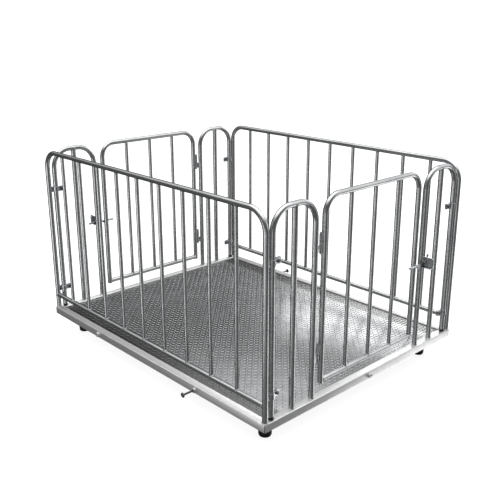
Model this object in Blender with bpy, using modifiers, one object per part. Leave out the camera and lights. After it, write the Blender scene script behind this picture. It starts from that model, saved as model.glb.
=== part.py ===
# Livestock platform scale with a bent-tube pen and a swing gate at each end.
# Metres, +Z up. The origin is on the floor under the middle of the platform.
# +X runs along the platform, towards the gate end called "right"; the long side at -Y is "front".
# The right and left ends are the same end, turned half a turn about Z.

import math

import bmesh
import bpy
from mathutils import Matrix, Vector

# Platform
PLATFORM_LENGTH = 1.500        # outer length of the frame, along X
PLATFORM_WIDTH = 1.200         # outer width of the frame, along Y
DECK_HEIGHT = 0.125            # floor to the top of the frame
FRAME_SECTION = 0.035          # square hollow section of the frame
FRAME_WALL = 0.0025
DECK_THICKNESS = 0.004
DECK_SEAM = 0.002              # open seam between the deck plate and the frame
DECK_DROP = 0.0050             # the deck plate lies this far below the frame's top
BEAM_SPACING = 0.400
BEAM_WIDTH = 0.040
BEAM_WALL = 0.0025

# Pen
FENCE_HEIGHT = 0.785           # top of the frame to the middle of the top rails
TUBE_RADIUS = 0.011            # hoops, arches, gates and bottom rails
BAR_RADIUS = 0.008             # upright bars
PANEL_BEND = 0.080             # bend radius of the long panels
ARCH_BEND = 0.085              # bend radius of the narrow arches
GATE_BEND = 0.070              # bend radius of the gates
PANEL_INSET = 0.0135           # long panels' plane from the frame's outer side
PANEL_POST_INSET = 0.0125      # long panels' posts from the frame's end
PANEL_RAIL_HEIGHT = 0.067      # top of the frame to the middle of a panel's bottom rail
PANEL_BARS = 9
END_INSET = 0.0155             # arches' and gates' plane from the frame's end
ARCH_INSET = 0.046             # an arch's outer leg from the frame's outer side
ARCH_WIDTH = 0.215             # between an arch's two legs
GATE_CLEARANCE = 0.050         # between an arch's leg and the gate's stile
GATE_RAIL_HEIGHT = 0.062       # top of the frame to the middle of the gate's bottom rail
GATE_BARS = 3
PLUG_HEIGHT = 0.012            # black plug in the foot of each arch's outer leg

# Gate hinges
HINGE_OFFSET = 0.020           # hinge axis from the middle of the gate's stile
HINGE_RADIUS = 0.006
HINGE_LEAF = 0.042             # length of each half of a hinge
HINGE_TAPER = 0.007
HINGE_TIP_RADIUS = 0.003
HINGE_PIN_RADIUS = 0.0029
HINGE_PIN_LENGTH = 0.030
HINGE_PIN_TIP = 0.0018         # radius of the pin's blunt tip
HINGE_CENTRES = (0.182, 0.615)  # heights above the frame's top
LUG_THICKNESS = 0.004
LUG_HEIGHT = 0.028
LUG_RISE = 0.020               # a lug's middle from the joint between the hinge's halves

# Gate latch
BOLT_RADIUS = 0.005
BOLT_HEIGHT = 0.387            # above the frame's top
BOLT_PAST_STILE = 0.051        # how far the bolt's tip reaches past the stile's middle
BOLT_TAIL = 0.014              # bolt past the middle of its handle
HANDLE_RADIUS = 0.00425
HANDLE_HEIGHT = 0.037
HANDLE_OFFSET = 0.0245         # handle from the guide plate
GUIDE_THICKNESS = 0.004
GUIDE_HEIGHT = 0.046
GUIDE_RISE = 0.008             # middle of the guide plate above the bolt
GUIDE_REACH = 0.0545
GUIDE_CORNER = 0.006
BARREL_RADIUS = 0.0095         # barrel through the guide plate, round the bolt
BARREL_LENGTH = 0.030

# Corner clamps
CLAMP_HEIGHTS = (0.098, 0.600)  # above the frame's top
CLAMP_WIDTH = 0.024
CLAMP_THICKNESS = 0.0025
CLAMP_LIP = 0.030
CLAMP_TAB = 0.008              # width of the tab between the ring and the panel's post
CLAMP_SLOT = 0.004             # opening between the two lips
CLAMP_BOLT_RADIUS = 0.004
CLAMP_HEAD_RADIUS = 0.0075
CLAMP_HEAD_HEIGHT = 0.0055

# Load cells and feet
FOOT_INSET = 0.098             # foot's middle from the frame's two outer sides
FOOT_RADIUS = 0.026
FOOT_BASE_RADIUS = 0.019
FOOT_PAD_HEIGHT = 0.031
FOOT_EDGE_HEIGHT = 0.010       # height of the rounded lower edge
STUD_RADIUS = 0.006
STUD_COLLAR_RADIUS = 0.011
STUD_COLLAR_HEIGHT = 0.005
LOCKNUT_RADIUS = 0.0105
LOCKNUT_HEIGHT = 0.0065
CELL_LENGTH = 0.130
CELL_SECTION = 0.030
CELL_END = 0.015               # foot's and rear bolt's distance from the cell's ends
CELL_BOLT_PITCH = 0.026
CELL_BOLT_RADIUS = 0.005
CELL_BOLT_HEAD_RADIUS = 0.008
CELL_BOLT_HEAD_HEIGHT = 0.005
CELL_POCKET_RADIUS = 0.010
CELL_POCKET_DEPTH = 0.007
CELL_POCKET_PLACE = 0.38       # from the foot, as a share of the cell's length
SPACER_THICKNESS = 0.006       # pad under the mounting plate, on top of the cell
PLATE_THICKNESS = 0.006
PLATE_MARGIN = 0.012           # plate's edge from the frame's outer sides
PLATE_PAST_CELL = 0.014

# Screw bosses in the frame's sides, and the long screws in two of them
BOSS_RADIUS = 0.0105
BOSS_LENGTH = 0.010
BOSS_SPACING = 0.710           # between the two bosses of a long side
SCREW_RADIUS = 0.0040
SCREW_LENGTH = 0.048           # outside the boss, up to the head
SCREW_DEPTH = 0.009            # inside the boss
SCREW_HEAD_RADIUS = 0.0105
SCREW_HEAD_HEIGHT = 0.005
SCREW_HEAD_CHAMFER = 0.0018

# Junction box under the middle beam
BOX_LENGTH = 0.130
BOX_WIDTH = 0.080
BOX_HEIGHT = 0.032
BOX_WALL = 0.0025
LID_THICKNESS = 0.003
BOX_POST_RADIUS = 0.0045
BOX_SCREW_RADIUS = 0.0022
BOX_SCREW_HEAD_RADIUS = 0.0040
BOX_SCREW_HEAD_HEIGHT = 0.0020
BOARD_THICKNESS = 0.0016
GLAND_RADIUS = 0.0075
GLAND_LENGTH = 0.016
GLAND_TAPER = 0.75             # a gland narrows to this share past this share of its length
GLAND_DROP = 0.55              # from the box's top, as a share of its height
LEAD_RADIUS = 0.0025
LEAD_PLACE = 0.28              # from the box's middle, as a share of its length
CLIP_WIDTH = 0.012
CLIP_THICKNESS = 0.002
CLIP_Y = 0.455                 # where the leads pass under the outer deck beams
CLEAT_Y = 0.180                # where they pass beside the middle deck beam

# Clearances and facets
GAP = 0.0003                   # between pieces that touch
COPE = 0.0005                  # a bar's end is cut this much wider than the tube it meets
HOLE_GAP = 0.0004              # radial, round bolts, studs and pins
SLIDE_GAP = 0.001              # between the latch bolt and the tubes it passes
ARC_STEPS = 6
HOOP_RESOLUTION = 4
BAR_SIDES = 12
COPE_SIDES = 16
ROUND_SIDES = 10
SMALL_SIDES = 8                # handles, cell bolts and box screws
CORNER_STEPS = 3               # rounded plate corners, clamp bends and the feet's lower edge
SHARP_ANGLE = 40               # degrees
MERGE_DISTANCE = 0.00001
FACET_TURN = 7.5               # degrees about its own axis, so that no two bars' edges meet in a point

# Places worked out from the sizes above
FRAME_TOP = DECK_HEIGHT
FRAME_BOTTOM = DECK_HEIGHT - FRAME_SECTION
RAIL_TOP = FRAME_TOP + FENCE_HEIGHT
HALF_LENGTH = PLATFORM_LENGTH / 2
HALF_WIDTH = PLATFORM_WIDTH / 2
PANEL_Y = HALF_WIDTH - PANEL_INSET
PANEL_X = HALF_LENGTH - PANEL_POST_INSET
END_X = HALF_LENGTH - END_INSET
ARCH_OUT = HALF_WIDTH - ARCH_INSET
ARCH_IN = ARCH_OUT - ARCH_WIDTH
STILE_Y = ARCH_IN - GATE_CLEARANCE
HINGE_Y = STILE_Y + HINGE_OFFSET
FOOT_X = HALF_LENGTH - FOOT_INSET
FOOT_Y = HALF_WIDTH - FOOT_INSET
DECK_TOP = FRAME_TOP - DECK_DROP
BEAM_TOP = DECK_TOP - DECK_THICKNESS - GAP
PLATE_TOP = FRAME_BOTTOM - GAP
CELL_TOP = PLATE_TOP - PLATE_THICKNESS - SPACER_THICKNESS - GAP
CELL_BOTTOM = CELL_TOP - CELL_SECTION
BOLT_X = END_X + TUBE_RADIUS + SLIDE_GAP + BOLT_RADIUS
BOLT_Z = FRAME_TOP + BOLT_HEIGHT
BOSS_Z = FRAME_TOP - FRAME_SECTION / 2
BOX_TOP = FRAME_BOTTOM - GAP
LEAD_Z = FRAME_BOTTOM - CLIP_THICKNESS - LEAD_RADIUS - HOLE_GAP
LEAD_X = BOX_LENGTH * LEAD_PLACE

RIGHT = Matrix.Identity(4)
LEFT = Matrix.Rotation(math.pi, 4, "Z")
ENDS = (("right", RIGHT), ("left", LEFT))
CORNERS = (
    ("front_right", 1, -1),
    ("rear_right", 1, 1),
    ("front_left", -1, -1),
    ("rear_left", -1, 1),
)


# Scene, collections and materials

def clear_scene():
    for old in list(bpy.data.objects):
        bpy.data.objects.remove(old, do_unlink=True)


def new_collection(name):
    collection = bpy.data.collections.new(name)
    bpy.context.scene.collection.children.link(collection)
    return collection


def new_material(name, color, metallic, roughness):
    material = bpy.data.materials.new(name)
    material.use_nodes = True
    shader = material.node_tree.nodes["Principled BSDF"]
    shader.inputs["Base Color"].default_value = (*color, 1.0)
    shader.inputs["Metallic"].default_value = metallic
    shader.inputs["Roughness"].default_value = roughness
    return material


clear_scene()
PARTS = new_collection("livestock_scale")
CUTTERS = new_collection("cutters")
GALVANISED = new_material("galvanised tube", (0.52, 0.53, 0.54), 1.0, 0.38)
FRAME_STEEL = new_material("galvanised frame", (0.60, 0.61, 0.61), 1.0, 0.45)
CHECKER = new_material("checker plate", (0.55, 0.56, 0.57), 1.0, 0.42)
ZINC = new_material("zinc plated steel", (0.66, 0.66, 0.64), 1.0, 0.30)
CELL_STEEL = new_material("nickel plated alloy steel", (0.70, 0.69, 0.66), 1.0, 0.25)
BLACK_STEEL = new_material("black oxide steel", (0.04, 0.04, 0.04), 0.8, 0.50)
BLACK_RUBBER = new_material("black rubber", (0.02, 0.02, 0.02), 0.0, 0.70)
BLACK_PLASTIC = new_material("black plastic", (0.03, 0.03, 0.03), 0.0, 0.45)
GREY_PLASTIC = new_material("grey plastic", (0.45, 0.46, 0.47), 0.0, 0.50)
GREEN_BOARD = new_material("circuit board", (0.04, 0.20, 0.09), 0.0, 0.40)


# Mesh and object helpers

def add_object(name, data, material, collection=None):
    data.materials.clear()
    if material:
        data.materials.append(material)
    made = bpy.data.objects.new(name, data)
    (collection or PARTS).objects.link(made)
    return made


def finish_mesh(name, bm, material, collection=None, smooth=True):
    mesh = bpy.data.meshes.new(name)
    bm.to_mesh(mesh)
    bm.free()
    if smooth:
        mesh.shade_smooth()
        mesh.set_sharp_from_angle(angle=math.radians(SHARP_ANGLE))
    return add_object(name, mesh, material, collection)


def as_cutter(made):
    made.hide_render = True
    made.display_type = "WIRE"
    return made


def add_box(bm, low, high, place=RIGHT):
    low, high = Vector(low), Vector(high)
    size = high - low
    matrix = place @ Matrix.Translation((low + high) / 2) @ Matrix.Diagonal((*size, 1.0))
    bmesh.ops.create_cube(bm, size=1.0, matrix=matrix)


def add_cylinder(bm, start, end, radius, sides=ROUND_SIDES, place=RIGHT):
    start, end = place @ Vector(start), place @ Vector(end)
    along = end - start
    turn = Vector((0, 0, 1)).rotation_difference(along).to_matrix().to_4x4()
    turn = turn @ Matrix.Rotation(math.radians(FACET_TURN), 4, "Z")
    matrix = Matrix.Translation((start + end) / 2) @ turn
    bmesh.ops.create_cone(bm, cap_ends=True, cap_tris=False, segments=sides,
                          radius1=radius, radius2=radius, depth=along.length, matrix=matrix)


def cylinder_cutter(name, rods, radius, sides=COPE_SIDES, place=RIGHT):
    bm = bmesh.new()
    for start, end in rods:
        add_cylinder(bm, start, end, radius, sides, place)
    return as_cutter(finish_mesh(name, bm, None, CUTTERS))


def boolean(target, cutter, operation="DIFFERENCE"):
    modifier = target.modifiers.new(cutter.name, "BOOLEAN")
    modifier.operation = operation
    modifier.solver = "EXACT"
    modifier.object = cutter
    return target


def hang_on(empty, *pieces):
    for piece in pieces:
        piece.parent = empty
        piece.matrix_parent_inverse = empty.matrix_world.inverted()


def axis_empty(name, point, place=RIGHT):
    empty = bpy.data.objects.new(name, None)
    empty.empty_display_size = 0.05
    PARTS.objects.link(empty)
    empty.location = place @ Vector(point)
    bpy.context.view_layer.update()
    return empty


def turned(name, profile, matrix, material, sides=ROUND_SIDES):
    # profile: (radius, height) pairs that run down the outer side, from axis to axis
    mesh = bpy.data.meshes.new(name)
    edges = [(i, i + 1) for i in range(len(profile) - 1)]
    mesh.from_pydata([(radius, 0, height) for radius, height in profile], edges, [])
    made = add_object(name, mesh, material)
    made.matrix_world = matrix
    screw = made.modifiers.new("turn", "SCREW")
    screw.axis = "Z"
    screw.steps = sides
    screw.render_steps = sides
    screw.use_merge_vertices = True
    screw.merge_threshold = MERGE_DISTANCE
    screw.use_smooth_shade = sides > 6
    return made


def as_mesh(made):
    # the evaluated shape of an object as a plain welded mesh, in place of the object
    bpy.context.view_layer.update()
    graph = bpy.context.evaluated_depsgraph_get()
    mesh = bpy.data.meshes.new_from_object(made.evaluated_get(graph))
    bm = bmesh.new()
    bm.from_mesh(mesh)
    bmesh.ops.remove_doubles(bm, verts=bm.verts, dist=MERGE_DISTANCE)
    bm.transform(made.matrix_world)
    bm.to_mesh(mesh)
    bm.free()
    name, material = made.name, made.data.materials[0]
    bpy.data.objects.remove(made, do_unlink=True)
    return add_object(name, mesh, material)


def weld(target, piece):
    # one piece with another that overlaps it
    name = piece.name
    piece = as_mesh(piece)
    PARTS.objects.unlink(piece)
    CUTTERS.objects.link(piece)
    piece.name = f"{name}_piece"
    return boolean(target, as_cutter(piece), "UNION")


def smooth(made):
    made.data.shade_smooth()
    made.data.set_sharp_from_angle(angle=math.radians(SHARP_ANGLE))


def tube(name, points, radius, material, resolution=HOOP_RESOLUTION):
    curve = bpy.data.curves.new(name, "CURVE")
    curve.dimensions = "3D"
    curve.bevel_depth = radius
    curve.bevel_resolution = resolution
    curve.use_fill_caps = True
    spline = curve.splines.new("POLY")
    spline.points.add(len(points) - 1)
    for spot, point in zip(spline.points, points):
        spot.co = (*point, 1.0)
    return add_object(name, curve, material)


def flat_plate(name, outlines, thickness, matrix, material):
    # outlines: closed loops of (x, y) points, the first outside and the rest holes
    curve = bpy.data.curves.new(name, "CURVE")
    curve.dimensions = "2D"
    curve.fill_mode = "BOTH"
    curve.extrude = thickness / 2
    for outline in outlines:
        spline = curve.splines.new("POLY")
        spline.use_cyclic_u = True
        spline.points.add(len(outline) - 1)
        for spot, (x, y) in zip(spline.points, outline):
            spot.co = (x, y, 0.0, 1.0)
    made = add_object(name, curve, material)
    made.matrix_world = matrix
    return made


def arc(centre, radius, start, end, steps):
    # points of an arc in a plane, angles in degrees
    spots = []
    for i in range(steps + 1):
        angle = math.radians(start + (end - start) * i / steps)
        spots.append((centre[0] + radius * math.cos(angle), centre[1] + radius * math.sin(angle)))
    return spots


def hoop_outline(left, right, foot, top, bend):
    # an upside-down U in a plane: up, round, across, round, down
    points = [(left, foot)]
    points += arc((left + bend, top - bend), bend, 180, 90, ARC_STEPS)
    points += arc((right - bend, top - bend), bend, 90, 0, ARC_STEPS)
    points.append((right, foot))
    return points


# Platform

def frame_rail(name, half_long, place, boss_places):
    # one side of the frame: a square hollow section along X, mitred at both ends, with its bosses
    half = FRAME_SECTION / 2
    inside = half - FRAME_WALL
    outer = [(-half, -half), (half, -half), (half, half), (-half, half)]
    inner = [(-inside, -inside), (inside, -inside), (inside, inside), (-inside, inside)]
    run_x = Matrix.Rotation(math.pi / 2, 4, "Y")
    rail = as_mesh(flat_plate(name, [outer, inner], 2 * half_long, place @ run_x, FRAME_STEEL))
    cutter_size = 3 * FRAME_SECTION
    for side in (-1, 1):
        corner = Matrix.Translation((side * (half_long - GAP), -half, 0))
        angle = Matrix.Rotation(side * math.pi / 4, 4, "Z")
        offset = Matrix.Translation((side * cutter_size / 2, 0, 0))
        bm = bmesh.new()
        bmesh.ops.create_cube(bm, size=cutter_size, matrix=place @ corner @ angle @ offset)
        boolean(rail, as_cutter(finish_mesh(f"{name}_mitre_{side}", bm, None, CUTTERS)))
    mouth = BOSS_LENGTH
    bore = SCREW_RADIUS + HOLE_GAP
    profile = [(0, mouth - SCREW_DEPTH - GAP), (bore, mouth - SCREW_DEPTH - GAP), (bore, mouth),
               (BOSS_RADIUS, mouth), (BOSS_RADIUS, -FRAME_WALL / 2), (0, -FRAME_WALL / 2)]
    outwards = Matrix.Rotation(math.pi / 2, 4, "X")
    for i, x in enumerate(boss_places):
        spot = place @ Matrix.Translation((x, -half, 0)) @ outwards
        weld(rail, turned(f"{name}_boss_{i}", profile, spot, FRAME_STEEL))


def make_frame():
    half = FRAME_SECTION / 2
    quarter = Matrix.Rotation(math.pi / 2, 4, "Z")
    long_side = Matrix.Translation((0, -HALF_WIDTH + half, BOSS_Z))
    short_side = Matrix.Translation((0, -HALF_LENGTH + half, BOSS_Z))
    pair = (-BOSS_SPACING / 2, BOSS_SPACING / 2)
    frame_rail("frame_rail_front", HALF_LENGTH, long_side, pair)
    frame_rail("frame_rail_rear", HALF_LENGTH, LEFT @ long_side, pair)
    frame_rail("frame_rail_right", HALF_WIDTH, quarter @ short_side, (0,))
    frame_rail("frame_rail_left", HALF_WIDTH, LEFT @ quarter @ short_side, (0,))


def make_deck():
    x = HALF_LENGTH - FRAME_SECTION - DECK_SEAM
    y = HALF_WIDTH - FRAME_SECTION - DECK_SEAM
    bm = bmesh.new()
    add_box(bm, (-x, -y, DECK_TOP - DECK_THICKNESS), (x, y, DECK_TOP))
    finish_mesh("deck_plate", bm, CHECKER, smooth=False)


def lead_clip(beam, name, low, high, leads):
    # a block under a beam, with a round way through it for each lead
    bm = bmesh.new()
    add_box(bm, low, high)
    weld(beam, finish_mesh(f"{name}_block", bm, FRAME_STEEL, smooth=False))
    boolean(beam, cylinder_cutter(f"{name}_ways", leads, LEAD_RADIUS + HOLE_GAP, ROUND_SIDES))


def make_beams():
    # rectangular hollow sections across the frame, under the deck plate
    height = BEAM_TOP - FRAME_BOTTOM
    length = PLATFORM_WIDTH - 2 * (FRAME_SECTION + GAP)
    outer = [(-BEAM_WIDTH / 2, -height / 2), (BEAM_WIDTH / 2, -height / 2),
             (BEAM_WIDTH / 2, height / 2), (-BEAM_WIDTH / 2, height / 2)]
    inner = [(x - math.copysign(BEAM_WALL, x), y - math.copysign(BEAM_WALL, y)) for x, y in outer]
    run_y = Matrix.Rotation(math.pi / 2, 4, "X")
    clip_low = LEAD_Z - LEAD_RADIUS - HOLE_GAP - CLIP_THICKNESS
    clip_high = FRAME_BOTTOM + BEAM_WALL / 2
    wide = LEAD_RADIUS + HOLE_GAP + CLIP_THICKNESS
    for i, side in enumerate((-1, 0, 1)):
        x = side * BEAM_SPACING
        place = Matrix.Translation((x, 0, (BEAM_TOP + FRAME_BOTTOM) / 2)) @ run_y
        name = f"deck_beam_{('left', 'middle', 'right')[i]}"
        beam = as_mesh(flat_plate(name, [outer, inner], length, place, FRAME_STEEL))
        for end in (-1, 1):
            if side:
                reach = BEAM_WIDTH / 2
                y = end * CLIP_Y
                low, high = (x - CLIP_WIDTH / 2, y - wide), (x + CLIP_WIDTH / 2, y + wide)
                ways = [((x - reach, y, LEAD_Z), (x + reach, y, LEAD_Z))]
            else:
                y = end * CLEAT_Y
                low, high = (-LEAD_X - wide, y - CLIP_WIDTH / 2), (LEAD_X + wide, y + CLIP_WIDTH / 2)
                ways = [((way_x, y - CLIP_WIDTH, LEAD_Z), (way_x, y + CLIP_WIDTH, LEAD_Z))
                        for way_x in (-LEAD_X, LEAD_X)]
            lead_clip(beam, f"{name}_clip_{end}", (*low, clip_low), (*high, clip_high), ways)


def make_side_screws():
    # a long screw in one boss of each long side
    reach = BOSS_LENGTH + SCREW_LENGTH
    head = reach + SCREW_HEAD_HEIGHT
    profile = [(0, head), (SCREW_HEAD_RADIUS - SCREW_HEAD_CHAMFER, head),
               (SCREW_HEAD_RADIUS, head - SCREW_HEAD_CHAMFER),
               (SCREW_HEAD_RADIUS, reach), (SCREW_RADIUS, reach),
               (SCREW_RADIUS, BOSS_LENGTH - SCREW_DEPTH), (0, BOSS_LENGTH - SCREW_DEPTH)]
    outwards = Matrix.Rotation(math.pi / 2, 4, "X")
    for side, place in (("front", RIGHT), ("rear", LEFT)):
        spot = place @ Matrix.Translation((BOSS_SPACING / 2, -HALF_WIDTH, BOSS_Z)) @ outwards
        turned(f"{side}_side_screw", profile, spot, ZINC)


# Pen

def welded_bars(name, rail, bars, rail_meets, bars_meet, place=RIGHT):
    # a bottom rail with its upright bars; their free ends are cut to fit the tubes they meet
    bm = bmesh.new()
    add_cylinder(bm, *rail, TUBE_RADIUS, BAR_SIDES, place)
    comb = finish_mesh(name, bm, GALVANISED)
    bm = bmesh.new()
    for bar in bars:
        add_cylinder(bm, *bar, BAR_RADIUS, BAR_SIDES, place)
    boolean(comb, as_cutter(finish_mesh(f"{name}_uprights", bm, None, CUTTERS)), "UNION")
    for i, meets in enumerate((rail_meets, bars_meet)):
        cutter = cylinder_cutter(f"{name}_cope_{i}", meets, TUBE_RADIUS + COPE, place=place)
        boolean(comb, cutter)
    return comb


def make_panel(name, place):
    # long side: a hoop from corner to corner, and a bottom rail with upright bars
    foot = FRAME_TOP + GAP
    outline = hoop_outline(-PANEL_X, PANEL_X, foot, RAIL_TOP, PANEL_BEND)
    points = [place @ Vector((x, -PANEL_Y, z)) for x, z in outline]
    tube(f"{name}_hoop", points, TUBE_RADIUS, GALVANISED)
    rail_z = FRAME_TOP + PANEL_RAIL_HEIGHT
    posts = [((x, -PANEL_Y, foot), (x, -PANEL_Y, RAIL_TOP)) for x in (-PANEL_X, PANEL_X)]
    low = ((-PANEL_X, -PANEL_Y, rail_z), (PANEL_X, -PANEL_Y, rail_z))
    high = ((-PANEL_X, -PANEL_Y, RAIL_TOP), (PANEL_X, -PANEL_Y, RAIL_TOP))
    step = 2 * PANEL_X / (PANEL_BARS + 1)
    bars = []
    for i in range(PANEL_BARS):
        x = -PANEL_X + (i + 1) * step
        bars.append(((x, -PANEL_Y, rail_z), (x, -PANEL_Y, RAIL_TOP)))
    welded_bars(f"{name}_bars", low, bars, posts, [high], place)


def make_arch(name, side, place):
    # narrow arch beside the gate: two legs and a middle upright, welded into one piece
    foot = FRAME_TOP + GAP
    low_y, high_y = sorted((side * ARCH_OUT, side * ARCH_IN))
    outline = hoop_outline(low_y, high_y, foot, RAIL_TOP, ARCH_BEND)
    points = [place @ Vector((END_X, y, z)) for y, z in outline]
    arch = as_mesh(tube(name, points, TUBE_RADIUS, GALVANISED))
    middle = (low_y + high_y) / 2
    bm = bmesh.new()
    add_cylinder(bm, (END_X, middle, foot), (END_X, middle, RAIL_TOP), TUBE_RADIUS,
                 BAR_SIDES, place)
    boolean(arch, as_cutter(finish_mesh(f"{name}_upright", bm, None, CUTTERS)), "UNION")
    # the outer leg stops above the frame, on a black plug
    bm = bmesh.new()
    add_cylinder(bm, (END_X, side * ARCH_OUT, FRAME_TOP - PLUG_HEIGHT),
                 (END_X, side * ARCH_OUT, FRAME_TOP + PLUG_HEIGHT + GAP), 2 * TUBE_RADIUS,
                 BAR_SIDES, place)
    boolean(arch, as_cutter(finish_mesh(f"{name}_plug_room", bm, None, CUTTERS)))
    return arch


def make_plugs():
    for name, x, y in CORNERS:
        foot = (x * END_X, y * ARCH_OUT, FRAME_TOP + GAP)
        top = (x * END_X, y * ARCH_OUT, FRAME_TOP + PLUG_HEIGHT)
        bm = bmesh.new()
        add_cylinder(bm, foot, top, TUBE_RADIUS, BAR_SIDES)
        finish_mesh(f"arch_leg_plug_{name}", bm, BLACK_PLASTIC)


def make_gate(end, place):
    rail_z = FRAME_TOP + GATE_RAIL_HEIGHT
    foot = rail_z - TUBE_RADIUS
    outline = hoop_outline(-STILE_Y, STILE_Y, foot, RAIL_TOP, GATE_BEND)
    points = [place @ Vector((END_X, y, z)) for y, z in outline]
    hoop = as_mesh(tube(f"gate_{end}_hoop", points, TUBE_RADIUS, GALVANISED))
    add_hinge_sleeves(hoop, end, place)
    smooth(hoop)
    stiles = [((END_X, y, foot - TUBE_RADIUS), (END_X, y, RAIL_TOP)) for y in (-STILE_Y, STILE_Y)]
    low = ((END_X, -STILE_Y, rail_z), (END_X, STILE_Y, rail_z))
    high = ((END_X, -STILE_Y, RAIL_TOP), (END_X, STILE_Y, RAIL_TOP))
    step = 2 * STILE_Y / (GATE_BARS + 1)
    rods = []
    for i in range(GATE_BARS):
        y = -STILE_Y + (i + 1) * step
        rods.append(((END_X, y, rail_z), (END_X, y, RAIL_TOP)))
    bars = welded_bars(f"gate_{end}_bars", low, rods, stiles, [high], place)
    axis = axis_empty(f"gate_{end}_hinge_axis", (END_X, -HINGE_Y, FRAME_TOP), place)
    hang_on(axis, hoop, bars)


def add_lug(target, name, low, high, place):
    bm = bmesh.new()
    add_box(bm, low, high, place)
    boolean(target, as_cutter(finish_mesh(name, bm, None, CUTTERS)), "UNION")


def hinge_lug_box(near, far, middle):
    # a plate between the hinge axis and a tube, given by its two distances from the axis
    low_y, high_y = sorted((-HINGE_Y + near, -HINGE_Y + far))
    half = LUG_THICKNESS / 2
    return ((END_X - half, low_y, middle - LUG_HEIGHT / 2),
            (END_X + half, high_y, middle + LUG_HEIGHT / 2))


def add_hinge_sleeves(hoop, end, place):
    # upper halves, welded to the gate's stile, with a blind bore for the pin
    bore = HINGE_PIN_RADIUS + HOLE_GAP
    base = GAP
    top = base + HINGE_LEAF
    profile = [(0, top), (HINGE_TIP_RADIUS, top), (HINGE_RADIUS, top - HINGE_TAPER),
               (HINGE_RADIUS, base), (bore, base), (bore, HINGE_PIN_LENGTH + 2 * GAP),
               (0, HINGE_PIN_LENGTH + 2 * GAP)]
    wall = (bore + HINGE_RADIUS) / 2
    for i, height in enumerate(HINGE_CENTRES):
        z = FRAME_TOP + height
        low, high = hinge_lug_box(wall, HINGE_OFFSET, z + LUG_RISE)
        add_lug(hoop, f"sleeve_{end}_{i}_lug", low, high, place)
        spot = place @ Matrix.Translation((END_X, -HINGE_Y, z))
        weld(hoop, turned(f"sleeve_{end}_{i}", profile, spot, ZINC))


def add_hinge_pins(arch, end, place):
    # lower halves, welded to the arch's leg, with the pins that carry the gate
    profile = [(0, HINGE_PIN_LENGTH), (HINGE_PIN_TIP, HINGE_PIN_LENGTH),
               (HINGE_PIN_RADIUS, HINGE_PIN_LENGTH - HINGE_PIN_RADIUS),
               (HINGE_PIN_RADIUS, 0), (HINGE_RADIUS, 0), (HINGE_RADIUS, HINGE_TAPER - HINGE_LEAF),
               (HINGE_TIP_RADIUS, -HINGE_LEAF), (0, -HINGE_LEAF)]
    reach = GATE_CLEARANCE - HINGE_OFFSET
    for i, height in enumerate(HINGE_CENTRES):
        z = FRAME_TOP + height
        low, high = hinge_lug_box(0, -reach, z - LUG_RISE)
        add_lug(arch, f"pin_{end}_{i}_lug", low, high, place)
        spot = place @ Matrix.Translation((END_X, -HINGE_Y, z))
        weld(arch, turned(f"pin_{end}_{i}", profile, spot, ZINC))


def add_bolt_guide(arch, end, place):
    # a plate welded to the arch's inner leg, with a folded lip under the latch bolt and a barrel
    # that the bolt slides in
    far = END_X + TUBE_RADIUS + GUIDE_REACH
    low = BOLT_Z + GUIDE_RISE - GUIDE_HEIGHT / 2
    high = low + GUIDE_HEIGHT
    corner = GUIDE_CORNER
    outline = [(END_X, high), (END_X, low)]
    outline += arc((far - corner, low + corner), corner, -90, 0, CORNER_STEPS)
    outline += arc((far - corner, high - corner), corner, 0, 90, CORNER_STEPS)
    spot = place @ Matrix.Translation((0, ARCH_IN, 0)) @ Matrix.Rotation(math.pi / 2, 4, "X")
    weld(arch, flat_plate(f"guide_{end}", [outline], GUIDE_THICKNESS, spot, ZINC))
    front, rear = ARCH_IN - BARREL_LENGTH / 2, ARCH_IN + BARREL_LENGTH / 2
    lip_start = (END_X + TUBE_RADIUS, front, low)
    lip_end = (far - corner, ARCH_IN, low + GUIDE_THICKNESS)
    add_lug(arch, f"guide_{end}_lip", lip_start, lip_end, place)
    barrel = ((BOLT_X, front, BOLT_Z), (BOLT_X, rear, BOLT_Z))
    barrel = cylinder_cutter(f"guide_{end}_barrel", [barrel], BARREL_RADIUS, BAR_SIDES, place)
    boolean(arch, barrel, "UNION")
    way = ((BOLT_X, front - GUIDE_THICKNESS, BOLT_Z), (BOLT_X, rear + GUIDE_THICKNESS, BOLT_Z))
    hole = BOLT_RADIUS + HOLE_GAP
    boolean(arch, cylinder_cutter(f"guide_{end}_hole", [way], hole, ROUND_SIDES, place))


def make_latch_bolt(end, place):
    # a sliding bolt with an upright handle
    tip = STILE_Y - BOLT_PAST_STILE
    grip = ARCH_IN + HANDLE_OFFSET
    bm = bmesh.new()
    add_cylinder(bm, (BOLT_X, tip, BOLT_Z), (BOLT_X, grip + BOLT_TAIL, BOLT_Z), BOLT_RADIUS,
                 ROUND_SIDES, place)
    bolt = finish_mesh(f"latch_bolt_{end}", bm, ZINC)
    bm = bmesh.new()
    add_cylinder(bm, (BOLT_X, grip, BOLT_Z), (BOLT_X, grip, BOLT_Z + HANDLE_HEIGHT), HANDLE_RADIUS,
                 SMALL_SIDES, place)
    boolean(bolt, as_cutter(finish_mesh(f"latch_{end}_handle", bm, None, CUTTERS)), "UNION")
    hang_on(axis_empty(f"latch_{end}_slide_axis", (BOLT_X, tip, BOLT_Z), place), bolt)


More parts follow.
